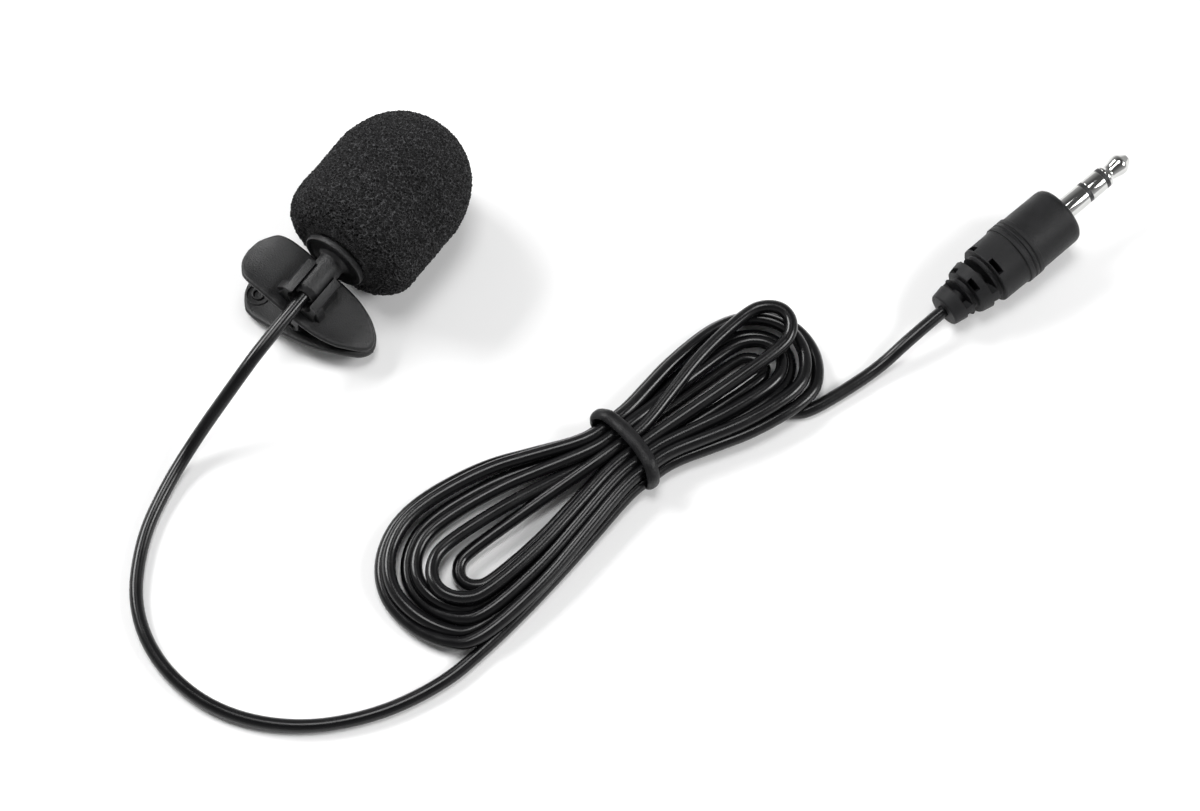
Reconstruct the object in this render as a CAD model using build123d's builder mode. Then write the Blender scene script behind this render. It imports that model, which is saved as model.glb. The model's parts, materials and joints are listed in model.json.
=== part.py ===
"""Lavalier microphone: a clip-on electret microphone with a foam windscreen, a sprung clip, a thin
cord tied in a hank, and a 3.5 mm three-pole plug. Millimetres, +Z up, table at z = 0.

The microphone's axis runs along +Y, towards the tip of the foam. The clip's long axis is X, with its
bite towards +X. The origin is the bottom centre of the box around the microphone and its clip.
"""

import os
from math import cos, pi, radians, sin, tan

from build123d import *

os.makedirs("parts", exist_ok=True)

# ---------------------------------------------------------------------------------- driving sizes

# Foam windscreen
foam_d = 22.4
foam_length = 26.3
foam_rear_face_d = 13.0
foam_rear_round = 4.0
foam_dome_length = 12.4
foam_bore_gap = 0.4  # air between the grille and the bottom of the foam's bore
foam_slip = 0.08  # radial running clearance over the head's barrel
foam_gap = 0.35  # foam's rear face to the flange

# Microphone head housing
stem_d = 4.2
stem_length = 7.0
stem_chamfer = 0.3
flange_d = 10.2
flange_t = 1.0
flange_round = 0.45
barrel_d = 8.6
barrel_length = 11.6
barrel_wall = 0.8
floor_t = 1.2

# Front grille and felt
grille_t = 0.35
grille_lip = 0.35
grille_hole_d = 0.7
grille_pitch = 1.26
felt_t = 0.4

# Electret capsule
capsule_d = 6.0
capsule_length = 5.0
can_wall = 0.15
can_front = 0.3
can_lip = 0.4
sound_hole_d = 0.5
diaphragm_ring_t = 0.4
diaphragm_ring_width = 0.55
diaphragm_t = 0.05
spacer_t = 0.1
spacer_width = 0.45
plate_t = 0.3
plate_hole_d = 0.45
holder_ledge = 0.4
gate_wall = 0.3
gate_gap = 0.15
pcb_t = 0.6
jfet_size = (1.6, 1.0, 0.7)
jfet_leg = (0.3, 0.35, 0.15)
jfet_leg_spread = 0.4  # each leg from the middle
solder_d = 1.1
solder_t = 0.45
solder_taper = 25
solder_spacing = 2.2

# Cord, and how it is held in the head
cord_d = 2.0
conductor_d = 0.5
plug_conductor_d = 0.4
conductor_spread = 0.9
ferrule_wall = 0.45
ferrule_length = 1.6

# Clip: positions are (x, z) from the microphone's axis, x towards the bite
clip_back = 5.3  # clip's centre line behind the flange's rear face
upper_jaw_t = 1.1
upper_jaw_top = [
    (-12.1, -0.7), (-9.0, -0.2), (-6.0, -0.6), (-3.0, -1.9), (0.0, -3.3),
    (3.0, -4.4), (6.0, -5.1), (8.5, -5.7), (10.8, -6.9),
]
upper_jaw_half = [
    (-12.1, 0.0), (-11.3, 2.6), (-9.4, 4.4), (-5.0, 4.85), (0.0, 4.8),
    (4.0, 4.55), (7.0, 3.7), (9.6, 1.9), (10.8, 0.0),
]
lower_jaw_t = 1.2
lower_jaw_top = [
    (-12.6, -9.8), (-9.0, -9.95), (-5.0, -9.2), (-2.0, -8.4), (1.0, -7.8),
    (4.0, -7.35), (6.4, -7.0), (8.5, -7.2), (10.8, -8.3),
]
lower_jaw_half = [
    (-12.6, 0.0), (-11.9, 3.0), (-9.6, 5.2), (-5.0, 5.7), (0.0, 5.65),
    (4.0, 5.2), (7.2, 4.0), (9.8, 2.0), (10.8, 0.0),
]
blade_nose_lean = 0.35  # slope of each blade's outline where it meets the tip
cradle_length = 6.0
cradle_tilt = 20.0
cradle_slip = 0.05  # radial clearance of the stem in its snap channel
cradle_wall = 0.85
cradle_foot = 0.9
cradle_sink = 0.5  # how far the cradle's foot sinks into the blade
cradle_lip = 0.55
cradle_mouth = 3.3
cradle_mouth_flare = 70.0
cradle_reach = 1.25
tooth_pitch = 0.9
tooth_h = 0.25
tooth_count = 3
tooth_start = 6.3
tooth_half_width = 1.7
tooth_root = 0.3

# Jaw hinge and its torsion spring
pin_x, pin_z = -0.9, -5.95
pin_d = 1.2
pin_slip = 0.05
ear_r = 1.35
upper_ear_in = 3.7
upper_ear_t = 0.9
lower_ear_t = 0.9
ear_side_gap = 0.25
ear_root = 0.3
spring_wire_d = 0.5
spring_coil_d = 2.7
spring_turns = 3.5
spring_pitch = 0.75
spring_leg = 6.0
spring_lower_rise = 0.33
spring_upper_rise = 0.42

# 3.5 mm three-pole plug: stations are measured along its axis from the moulding's front face
plug_d = 3.5
plug_sleeve_length = 4.7
plug_ring_length = 2.85
plug_band_length = 0.7
plug_length = 14.0
tip_collar_d = 3.5
tip_collar_length = 0.35
tip_waist_d = 2.5
tip_waist_at = 1.0  # behind this the tip's neck curves in, ahead of it the bulb curves out
tip_bulge_d = 3.3
tip_bulge_at = 3.1
rod_d = 0.9
liner_wall = 0.3
ring_tube_wall = 0.25
shoulder_d = 4.2
collar_d = 5.4
collar_t = 0.8
collar_flange = 0.6
tag_length = 2.2
tag_step = 0.5  # how far a plug tube stands out of the liner round it
sleeve_tag_lift = 0.6
inner_mould_d = 6.6
inner_mould_length = 7.6
inner_mould_wall = 0.7

# Overmoulded grip and strain relief
grip_d = 9.6
grip_length = 15.7
grip_front_round = 1.3
grip_rear_round = 0.7
band_d = 10.1
band_start = 8.1
band_length = 2.7
band_grooves = 3
band_groove_d = 0.3
relief_core_d = 2.8
relief_gap = 0.9  # neck in front of each relief block
block_a_length = 3.2
block_a_front_d = 9.0
block_a_rear_d = 7.7
block_b_length = 3.6
block_b_front_d = 6.7
block_b_rear_d = 5.4
neck_depth = 0.75  # how far the necks sit below the blocks
slot_w = 0.8
slot_pitch = 2.17
slot_count = 4
slot_setback = 0.7  # first slot, ahead of the grip's rear end
slot_bridge = 2.0

# How the plug lies: its front face, which way it points and how far its nose is raised
plug_xy = (84.5, 64.6)
plug_heading = 75.3
plug_nose_up = 6.0

# Hank and tie: stations run along the hank from its tie
hank_tie_at = (52.3, -5.0)
hank_heading = 74.0
tie_inside = (12.4, 4.8)
tie_t = 1.2
tie_w = 1.9
tie_corner = 0.45  # corner radius of tie and hank, as a share of their height
tie_edge_round = 0.36
plug_exit_run = 7.0  # straight cord behind the plug
arc_share = 0.45  # share of the shorter run that each bend of the cord uses

# ------------------------------------------------------------------------------- the shared frame

cord_r = cord_d / 2
foam_r = foam_d / 2
stem_r = stem_d / 2
barrel_r = barrel_d / 2
foam_start = flange_t + foam_gap
clip_half_width = max(half for _, half in lower_jaw_half)
handle_reach = -lower_jaw_half[0][0]

axis_x = (handle_reach - max(foam_r, lower_jaw_half[-1][0])) / 2
axis_z = foam_r
flange_y = (clip_back + clip_half_width - foam_start - foam_length) / 2
stem_end = -stem_length

head_axis = Axis((axis_x, flange_y, axis_z), (0, 1, 0))
# Side view of the head: (station along the axis, radius)
head_side = Plane(origin=(axis_x, flange_y, axis_z), x_dir=(0, 1, 0), z_dir=(1, 0, 0))


def head_station(station):
    """The plane across the head's axis at a station from the flange's rear face."""
    return Plane(origin=(axis_x, flange_y + station, axis_z), x_dir=(-1, 0, 0), z_dir=(0, 1, 0))


def save(part, name, color):
    """Labels a finished piece and writes it to its own file."""
    part.label = name
    part.color = Color(*color)
    export_step(part, f"parts/{name}.step")


BLACK_PLASTIC = (0.06, 0.06, 0.07)
BLACK_RUBBER = (0.03, 0.03, 0.03)
FOAM = (0.10, 0.10, 0.11)
NICKEL = (0.80, 0.80, 0.78)
BRASS = (0.80, 0.62, 0.30)
GREEN = (0.10, 0.35, 0.18)
WHITE = (0.85, 0.85, 0.82)
RED = (0.65, 0.08, 0.06)

# ------------------------------------------------------------------------------ foam windscreen

barrel_end = flange_t + barrel_length
foam_bore_r = barrel_r + foam_slip
foam_bore_end = barrel_end + foam_bore_gap
foam_end = foam_start + foam_length
rear_r = foam_rear_face_d / 2

with BuildPart() as foam_windscreen:
    with BuildSketch(head_side):
        with BuildLine():
            rear_centre = (foam_start + foam_rear_round, rear_r)
            EllipticalCenterArc(rear_centre, foam_rear_round, foam_r - rear_r, start_angle=90, arc_size=90)
            Line((foam_start + foam_rear_round, foam_r), (foam_end - foam_dome_length, foam_r))
            dome_centre = (foam_end - foam_dome_length, 0)
            EllipticalCenterArc(dome_centre, foam_dome_length, foam_r, start_angle=0, arc_size=90)
            Polyline(
                (foam_end, 0),
                (foam_bore_end, 0),
                (foam_bore_end, foam_bore_r),
                (foam_start, foam_bore_r),
                (foam_start, rear_r),
            )
        make_face()
    revolve(axis=head_axis)
save(foam_windscreen.part, "foam_windscreen", FOAM)

# ------------------------------------------------------------------------------- head housing

cup_r = barrel_r - barrel_wall
floor_end = flange_t + floor_t
grille_r = cup_r + grille_lip
grille_start = barrel_end - grille_t

with BuildPart() as head_housing:
    with BuildSketch(head_side):
        with BuildLine():
            Polyline(
                (stem_end, cord_r),
                (stem_end, stem_r),
                (0, stem_r),
                (0, flange_d / 2),
                (flange_t, flange_d / 2),
                (flange_t, barrel_r),
                (barrel_end, barrel_r),
                (barrel_end, grille_r),
                (grille_start, grille_r),
                (grille_start, cup_r),
                (floor_end, cup_r),
                (floor_end, cord_r),
                close=True,
            )
        make_face()
    revolve(axis=head_axis)
    rims = head_housing.edges().filter_by(GeomType.CIRCLE)
    fillet(rims.filter_by(lambda e: abs(e.radius - flange_d / 2) < 0.01), radius=flange_round)
    stem_rim = rims.filter_by(lambda e: abs(e.radius - stem_r) < 0.01).sort_by(Axis.Y)[0]
    chamfer(stem_rim, length=stem_chamfer)
save(head_housing.part, "head_housing", BLACK_PLASTIC)

with BuildPart() as front_grille:
    with BuildSketch(head_station(grille_start)):
        Circle(grille_r)
        Circle(grille_hole_d / 2, mode=Mode.SUBTRACT)
        for ring in (1, 2):
            with PolarLocations(ring * grille_pitch, 6 * ring):
                Circle(grille_hole_d / 2, mode=Mode.SUBTRACT)
    extrude(amount=grille_t)
save(front_grille.part, "front_grille", NICKEL)

felt_start = grille_start - felt_t

with BuildPart() as dust_felt:
    with BuildSketch(head_station(felt_start)):
        Circle(cup_r)
    extrude(amount=felt_t)
save(dust_felt.part, "dust_felt", BLACK_RUBBER)

# ---------------------------------------------------------------------------- electret capsule

capsule_r = capsule_d / 2
can_r = capsule_r - can_wall
capsule_end = felt_start
capsule_start = capsule_end - capsule_length
can_inside = capsule_end - can_front
pcb_start = capsule_start + can_wall
pcb_end = pcb_start + pcb_t

with BuildPart() as capsule_can:
    with BuildSketch(head_side):
        with BuildLine():
            Polyline(
                (capsule_end, 0),
                (capsule_end, capsule_r),
                (capsule_start, capsule_r),
                (capsule_start, can_r - can_lip),
                (pcb_start, can_r - can_lip),
                (pcb_start, can_r),
                (can_inside, can_r),
                (can_inside, 0),
                close=True,
            )
        make_face()
    revolve(axis=head_axis)
    with BuildSketch(head_station(can_inside)):
        Circle(sound_hole_d / 2)
        with PolarLocations(capsule_r / 2, 6):
            Circle(sound_hole_d / 2)
    extrude(amount=can_front, mode=Mode.SUBTRACT)
save(capsule_can.part, "capsule_can", NICKEL)

with BuildPart() as capsule_sleeve:
    with BuildSketch(head_station(capsule_start)):
        Circle(cup_r)
        Circle(capsule_r, mode=Mode.SUBTRACT)
    extrude(amount=capsule_length)
save(capsule_sleeve.part, "capsule_sleeve", BLACK_RUBBER)

ring_start = can_inside - diaphragm_ring_t
film_start = ring_start - diaphragm_t
spacer_start = film_start - spacer_t
plate_start = spacer_start - plate_t
plate_r = can_r - spacer_width

with BuildPart() as diaphragm_ring:
    with BuildSketch(head_station(ring_start)):
        Circle(can_r)
        Circle(can_r - diaphragm_ring_width, mode=Mode.SUBTRACT)
    extrude(amount=diaphragm_ring_t)
save(diaphragm_ring.part, "diaphragm_ring", BRASS)

with BuildPart() as diaphragm:
    with BuildSketch(head_station(film_start)):
        Circle(can_r)
    extrude(amount=diaphragm_t)
save(diaphragm.part, "diaphragm", WHITE)

with BuildPart() as spacer_ring:
    with BuildSketch(head_station(spacer_start)):
        Circle(can_r)
        Circle(can_r - spacer_width, mode=Mode.SUBTRACT)
    extrude(amount=spacer_t)
save(spacer_ring.part, "spacer_ring", WHITE)

with BuildPart() as back_electrode:
    with BuildSketch(head_station(plate_start)):
        Circle(plate_r)
        with PolarLocations(plate_r / 2, 4):
            Circle(plate_hole_d / 2, mode=Mode.SUBTRACT)
    extrude(amount=plate_t)
save(back_electrode.part, "back_electrode", BRASS)

holder_r = plate_r - holder_ledge

with BuildPart() as electrode_holder:
    with BuildSketch(head_side):
        with BuildLine():
            Polyline(
                (pcb_end, can_r),
                (spacer_start, can_r),
                (spacer_start, plate_r),
                (plate_start, plate_r),
                (plate_start, holder_r),
                (pcb_end, holder_r),
                close=True,
            )
        make_face()
    revolve(axis=head_axis)
save(electrode_holder.part, "electrode_holder", BLACK_PLASTIC)

gate_r = holder_r - gate_gap

with BuildPart() as gate_contact:
    with BuildSketch(head_station(pcb_end)):
        Circle(gate_r)
        Circle(gate_r - gate_wall, mode=Mode.SUBTRACT)
    extrude(amount=plate_start - pcb_end)
save(gate_contact.part, "gate_contact", BRASS)

with BuildPart() as jfet:
    with BuildSketch(head_station(pcb_end + jfet_leg[2])):
        Rectangle(jfet_size[0], jfet_size[1])
    extrude(amount=jfet_size[2])
    with BuildSketch(head_station(pcb_end)):
        with Locations((-jfet_leg_spread, 0), (jfet_leg_spread, 0)):
            Rectangle(jfet_leg[0], jfet_size[1] + jfet_leg[1])
        with Locations((0, 0)):
            Rectangle(jfet_leg[0], jfet_size[1] + jfet_leg[1])
    extrude(amount=jfet_leg[2])
save(jfet.part, "jfet", BLACK_PLASTIC)

with BuildPart() as capsule_pcb:
    with BuildSketch(head_station(pcb_start)):
        Circle(can_r)
    extrude(amount=pcb_t)
save(capsule_pcb.part, "capsule_pcb", GREEN)

with BuildPart() as solder_joints:
    with BuildSketch(head_station(pcb_start)):
        with Locations((-solder_spacing / 2, 0), (solder_spacing / 2, 0)):
            Circle(solder_d / 2)
    extrude(amount=-solder_t, taper=solder_taper)
save(solder_joints.part, "solder_joints", NICKEL)

# ------------------------------------------------------------------ cord anchorage in the head

head_cord_end = floor_end + ferrule_length
solder_face = pcb_start - solder_t

with BuildPart() as cable_ferrule:
    with BuildSketch(head_station(floor_end)):
        Circle(cord_r + ferrule_wall)
        Circle(cord_r, mode=Mode.SUBTRACT)
    extrude(amount=ferrule_length)
save(cable_ferrule.part, "cable_ferrule", BRASS)

with BuildPart() as cord_head_end:
    with BuildSketch(head_station(stem_end)):
        Circle(cord_r)
    extrude(amount=head_cord_end - stem_end)
save(cord_head_end.part, "cord_head_end", BLACK_RUBBER)

for lead_name, side, color in (("signal_lead", -1, RED), ("screen_lead", 1, WHITE)):
    with BuildPart() as head_lead:
        with BuildLine() as lead_path:
            Line(
                (axis_x + side * conductor_spread / 2, flange_y + head_cord_end, axis_z),
                (axis_x + side * solder_spacing / 2, flange_y + solder_face, axis_z),
            )
        with BuildSketch(Plane(lead_path.line @ 0, z_dir=lead_path.line % 0)):
            Circle(conductor_d / 2)
        sweep(path=lead_path.line)
    save(head_lead.part, lead_name, color)

# -------------------------------------------------------------------------------------- clip

clip_y = flange_y - clip_back
# Side view of the clip: (x, z) from the microphone's axis, seen from behind
clip_side = Plane(origin=(axis_x, clip_y, axis_z), x_dir=(1, 0, 0), z_dir=(0, -1, 0))
clip_top = Plane(origin=(axis_x, clip_y, axis_z + foam_r), x_dir=(1, 0, 0), z_dir=(0, 0, 1))
cradle_slope = radians(cradle_tilt)
cradle_side = Plane(
    origin=clip_side.origin,
    x_dir=(cos(cradle_slope), 0, -sin(cradle_slope)),
    z_dir=(0, -1, 0),
)
channel_r = stem_r + cradle_slip
cradle_r = channel_r + cradle_wall
lower_ear_in = upper_ear_in - ear_side_gap - lower_ear_t
blade_blank = 2 * clip_half_width


def blade_side(top, thickness):
    """Side profile of a jaw's blade, from the line of its top."""
    with BuildSketch(clip_side) as profile:
        with BuildLine():
            Spline(*top)
            Line(top[-1], (top[-1][0], top[-1][1] - thickness))
            Spline(*[(x, z - thickness) for x, z in reversed(top)])
            Line((top[0][0], top[0][1] - thickness), top[0])
        make_face()
    return profile.sketch


def blade_plan(half_widths):
    """Plan outline of a jaw's blade, from its half widths."""
    with BuildSketch(clip_top) as plan:
        with BuildLine():
            Spline(*half_widths, tangents=[(0, 1), (blade_nose_lean, -1)])
            Spline(*[(x, -half) for x, half in half_widths], tangents=[(0, -1), (blade_nose_lean, 1)])
        make_face()
    return plan.sketch


def tooth_profiles(under, up):
    """Ridges across the bite, standing from a jaw's drawn line."""
    with BuildSketch(clip_side) as teeth:
        for i in range(tooth_count):
            x = tooth_start + i * tooth_pitch
            z = height_on(under, x)
            half = tooth_pitch / 2
            with BuildLine():
                Polyline(
                    (x - half, z - up * tooth_root),
                    (x + half, z - up * tooth_root),
                    (x + half, z),
                    (x, z + up * tooth_h),
                    (x - half, z),
                    close=True,
                )
            make_face()
    return teeth.sketch


def height_on(points, x):
    """Height of a jaw's drawn line at x, straight between its points."""
    for (x0, z0), (x1, z1) in zip(points, points[1:]):
        if x0 <= x <= x1:
            return z0 + (z1 - z0) * (x - x0) / (x1 - x0)
    return points[-1][1]


def ear_profiles(inner, thickness, blade_z):
    """A pair of ears round the hinge pin, reaching from it to the blade at blade_z."""
    with BuildSketch(clip_side.offset(inner), clip_side.offset(-inner - thickness)) as ears:
        with Locations((pin_x, pin_z)):
            Circle(ear_r)
        with Locations((pin_x, (pin_z + blade_z) / 2)):
            Rectangle(2 * ear_r, abs(blade_z - pin_z))
    return ears.sketch


def pin_hole(radius):
    """The hinge pin's hole, as a sketch on the clip's middle plane."""
    with BuildSketch(clip_side) as hole:
        with Locations((pin_x, pin_z)):
            Circle(radius)
    return hole.sketch


upper_under = [(x, z - upper_jaw_t) for x, z in upper_jaw_top]
upper_ear_top = height_on(upper_under, pin_x) + ear_root
lower_ear_foot = height_on(lower_jaw_top, pin_x) - ear_root

with BuildPart() as upper_jaw:
    extrude(blade_side(upper_jaw_top, upper_jaw_t), amount=blade_blank, both=True)
    extrude(blade_plan(upper_jaw_half), amount=-2 * foam_d, mode=Mode.INTERSECT)
    with BuildSketch(cradle_side):
        with BuildLine():
            Polyline(
                (-cradle_r - cradle_foot, -cradle_r - cradle_sink),
                (cradle_r + cradle_foot, -cradle_r - cradle_sink),
                (cradle_r, -channel_r / 2),
                (cradle_r, cradle_reach - 2 * cradle_lip),
                (cradle_r + cradle_lip, cradle_reach),
                (-cradle_r - cradle_lip, cradle_reach),
                (-cradle_r, cradle_reach - 2 * cradle_lip),
                (-cradle_r, -channel_r / 2),
                close=True,
            )
        make_face()
        Circle(channel_r, mode=Mode.SUBTRACT)
        with Locations((0, cradle_reach)):
            Trapezoid(
                cradle_mouth + cradle_lip,
                2 * cradle_lip,
                cradle_mouth_flare,
                rotation=180,
                mode=Mode.SUBTRACT,
            )
            Rectangle(cradle_mouth, 2 * cradle_reach, mode=Mode.SUBTRACT)
    extrude(amount=cradle_length / 2, both=True)
    extrude(ear_profiles(upper_ear_in, upper_ear_t, upper_ear_top), amount=upper_ear_t)
    extrude(pin_hole(pin_d / 2), amount=clip_half_width, both=True, mode=Mode.SUBTRACT)
    extrude(tooth_profiles(upper_under, -1), amount=tooth_half_width, both=True)
save(upper_jaw.part, "upper_jaw", BLACK_PLASTIC)

with BuildPart() as lower_jaw:
    extrude(blade_side(lower_jaw_top, lower_jaw_t), amount=blade_blank, both=True)
    extrude(blade_plan(lower_jaw_half), amount=-2 * foam_d, mode=Mode.INTERSECT)
    extrude(ear_profiles(lower_ear_in, lower_ear_t, lower_ear_foot), amount=lower_ear_t)
    extrude(pin_hole(pin_d / 2 + pin_slip), amount=clip_half_width, both=True, mode=Mode.SUBTRACT)
save(lower_jaw.part, "lower_jaw", BLACK_PLASTIC)

with BuildPart() as hinge_pin:
    with BuildSketch(clip_side):
        with Locations((pin_x, pin_z)):
            Circle(pin_d / 2)
    extrude(amount=upper_ear_in + upper_ear_t, both=True)
save(hinge_pin.part, "hinge_pin", NICKEL)

coil_length = spring_turns * spring_pitch
coil_mean_r = (spring_coil_d - spring_wire_d) / 2
coil_end = (axis_x + pin_x, clip_y + coil_length / 2, axis_z + pin_z)

with BuildPart() as clip_spring:
    with BuildLine() as coil_path:
        Helix(spring_pitch, coil_length, coil_mean_r, center=coil_end, direction=(0, -1, 0))
    with BuildSketch(Plane(coil_path.line @ 0, z_dir=coil_path.line % 0)):
        Circle(spring_wire_d / 2)
    sweep(path=coil_path.line, is_frenet=True)
    for end, rise in ((0, -spring_lower_rise), (1, spring_upper_rise)):
        leg_start = coil_path.line @ end + Vector(spring_wire_d / 2, 0, 0)
        with BuildSketch(Plane(origin=leg_start, z_dir=(-1, 0, rise))):
            Circle(spring_wire_d / 2)
        extrude(amount=spring_leg)
save(clip_spring.part, "clip_spring", NICKEL)

# -------------------------------------------------------------------------------------- plug

grip_r = grip_d / 2
heading = radians(plug_heading)
nose_up = radians(plug_nose_up)
plug_dir = Vector(cos(heading) * cos(nose_up), sin(heading) * cos(nose_up), sin(nose_up))
plug_side_dir = Vector(sin(heading), -cos(heading), 0)
# The rear edge of the grip rests on the table
plug_height = grip_r * cos(nose_up) + (grip_length - grip_rear_round) * sin(nose_up)
plug_origin = Vector(plug_xy[0], plug_xy[1], plug_height)
plug_axis = Axis(plug_origin, plug_dir)
plug_side = Plane(origin=plug_origin, x_dir=plug_dir, z_dir=plug_side_dir)


def plug_station(station):
    """The plane across the plug's axis at a station from the moulding's front face."""
    return Plane(origin=plug_origin + plug_dir * station, x_dir=plug_side_dir, z_dir=plug_dir)


plug_r = plug_d / 2
shoulder_r = shoulder_d / 2
rod_r = rod_d / 2
liner_r = rod_r + liner_wall
ring_tube_r = liner_r + ring_tube_wall
sleeve_bore_r = ring_tube_r + liner_wall
ring_band_start = plug_sleeve_length
ring_start_u = ring_band_start + plug_band_length
tip_band_start = ring_start_u + plug_ring_length
tip_start = tip_band_start + plug_band_length
collar_end = -collar_t
collar_face = collar_end - collar_flange
ring_tag_end = collar_end - tag_length
tip_tag_end = ring_tag_end - tag_length

with BuildPart() as plug_tip:
    with BuildSketch(plug_side):
        with BuildLine():
            Polyline(
                (tip_tag_end, 0),
                (tip_tag_end, rod_r),
                (tip_start, rod_r),
                (tip_start, tip_collar_d / 2),
                (tip_start + tip_collar_length, tip_collar_d / 2),
                (tip_start + tip_waist_at, tip_waist_d / 2),
                (tip_start + tip_bulge_at, tip_bulge_d / 2),
            )
            bulb_length = plug_length - tip_start - tip_bulge_at
            bulb_centre = (tip_start + tip_bulge_at, 0)
            EllipticalCenterArc(bulb_centre, bulb_length, tip_bulge_d / 2, start_angle=0, arc_size=90)
            Line((plug_length, 0), (tip_tag_end, 0))
        make_face()
    revolve(axis=plug_axis)
save(plug_tip.part, "plug_tip", NICKEL)

with BuildPart() as tip_insulator:
    with BuildSketch(plug_side):
        with BuildLine():
            Polyline(
                (ring_tag_end, rod_r),
                (ring_tag_end, liner_r),
                (tip_band_start, liner_r),
                (tip_band_start, plug_r),
                (tip_start, plug_r),
                (tip_start, rod_r),
                close=True,
            )
        make_face()
    revolve(axis=plug_axis)
save(tip_insulator.part, "tip_insulator", BLACK_PLASTIC)

ring_tube_end = ring_tag_end + tag_step

with BuildPart() as plug_ring:
    with BuildSketch(plug_side):
        with BuildLine():
            Polyline(
                (ring_tube_end, liner_r),
                (ring_tube_end, ring_tube_r),
                (ring_start_u, ring_tube_r),
                (ring_start_u, plug_r),
                (tip_band_start, plug_r),
                (tip_band_start, liner_r),
                close=True,
            )
        make_face()
    revolve(axis=plug_axis)
save(plug_ring.part, "plug_ring", NICKEL)

with BuildPart() as ring_insulator:
    with BuildSketch(plug_side):
        with BuildLine():
            Polyline(
                (collar_face - tag_step, ring_tube_r),
                (collar_face - tag_step, sleeve_bore_r),
                (ring_band_start, sleeve_bore_r),
                (ring_band_start, plug_r),
                (ring_start_u, plug_r),
                (ring_start_u, ring_tube_r),
                close=True,
            )
        make_face()
    revolve(axis=plug_axis)
save(ring_insulator.part, "ring_insulator", BLACK_PLASTIC)

with BuildPart() as plug_sleeve:
    with BuildSketch(plug_side):
        with BuildLine():
            Polyline(
                (collar_face, sleeve_bore_r),
                (collar_face, collar_d / 2),
                (collar_end, collar_d / 2),
                (collar_end, shoulder_r),
                (0, shoulder_r),
                (0, plug_r),
                (plug_sleeve_length, plug_r),
                (plug_sleeve_length, sleeve_bore_r),
                close=True,
            )
        make_face()
    revolve(axis=plug_axis)
save(plug_sleeve.part, "plug_sleeve", NICKEL)

# The rigid inner mould closes over the collar and the solder tags
mould_r = inner_mould_d / 2
mould_start = collar_end
mould_end = mould_start - inner_mould_length

with BuildPart() as plug_inner_mould:
    with BuildSketch(plug_side):
        with BuildLine():
            Polyline(
                (mould_start, collar_d / 2),
                (mould_start, mould_r),
                (mould_end, mould_r),
                (mould_end, cord_r),
                (mould_end + inner_mould_wall, cord_r),
                (mould_end + inner_mould_wall, collar_d / 2),
                close=True,
            )
        make_face()
    revolve(axis=plug_axis)
save(plug_inner_mould.part, "plug_inner_mould", WHITE)

block_a_start = grip_length + relief_gap
block_a_end = block_a_start + block_a_length
block_b_start = block_a_end + relief_gap
relief_end = block_b_start + block_b_length
neck_a_r = block_a_front_d / 2 - neck_depth
neck_b_r = block_b_front_d / 2 - neck_depth
cord_plug_start = -relief_end
cord_plug_stop = mould_end + inner_mould_wall

with BuildPart() as plug_overmould:
    with BuildSketch(plug_side):
        with BuildLine():
            Polyline(
                (0, shoulder_r),
                (0, grip_r),
                (-band_start, grip_r),
                (-band_start, band_d / 2),
                (-band_start - band_length, band_d / 2),
                (-band_start - band_length, grip_r),
                (-grip_length, grip_r),
                (-grip_length, neck_a_r),
                (-block_a_start, neck_a_r),
                (-block_a_start, block_a_front_d / 2),
                (-block_a_end, block_a_rear_d / 2),
                (-block_a_end, neck_b_r),
                (-block_b_start, neck_b_r),
                (-block_b_start, block_b_front_d / 2),
                (-relief_end, block_b_rear_d / 2),
                (-relief_end, cord_r),
                (mould_end, cord_r),
                (mould_end, mould_r),
                (mould_start, mould_r),
                (mould_start, shoulder_r),
                close=True,
            )
        make_face()
        # Fine grooves round the raised band
        groove_pitch = band_length / (band_grooves + 1)
        for i in range(band_grooves):
            with Locations((-band_start - (i + 1) * groove_pitch, band_d / 2)):
                Circle(band_groove_d / 2, mode=Mode.SUBTRACT)
    revolve(axis=plug_axis)
    # Through slots in two directions let the strain relief bend
    for i in range(slot_count):
        station = grip_length - slot_setback + i * slot_pitch
        bridge = (band_d, slot_bridge) if i % 2 else (slot_bridge, band_d)
        with BuildSketch(plug_station(-station - slot_w / 2)):
            Circle(band_d / 2)
            Circle(relief_core_d / 2, mode=Mode.SUBTRACT)
            Rectangle(*bridge, mode=Mode.SUBTRACT)
        extrude(amount=slot_w, mode=Mode.SUBTRACT)
    rims = plug_overmould.edges().filter_by(GeomType.CIRCLE)
    front_rim = rims.filter_by(lambda e: abs(e.radius - grip_r) < 0.01).sort_by(plug_axis)[-1]
    fillet(front_rim, radius=grip_front_round)
save(plug_overmould.part, "plug_overmould", BLACK_RUBBER)

with BuildPart() as cord_plug_end:
    with BuildSketch(plug_station(cord_plug_start)):
        Circle(cord_r)
    extrude(amount=cord_plug_stop - cord_plug_start)
save(cord_plug_end.part, "cord_plug_end", BLACK_RUBBER)

sleeve_tag_r = sleeve_bore_r + sleeve_tag_lift
# Where each conductor leaves the jacket, and the tag that it reaches
conductor_ends = (
    ("tip_conductor", RED, 0, 0, tip_tag_end),
    ("ring_conductor", WHITE, conductor_spread / 2, ring_tube_r, ring_tube_end),
    ("sleeve_conductor", BRASS, -conductor_spread / 2, -sleeve_tag_r, collar_face),
)
for name, color, rise, tag_r, tag_end in conductor_ends:
    with BuildPart() as conductor:
        with BuildLine() as wire_path:
            Line(
                plug_side.from_local_coords((cord_plug_stop, rise)),
                plug_side.from_local_coords((tag_end, tag_r)),
            )
        with BuildSketch(Plane(wire_path.line @ 0, z_dir=wire_path.line % 0)):
            Circle(plug_conductor_d / 2)
        sweep(path=wire_path.line)
    save(conductor.part, name, color)

# ------------------------------------------------------------------------- cord, hank and tie


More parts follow.
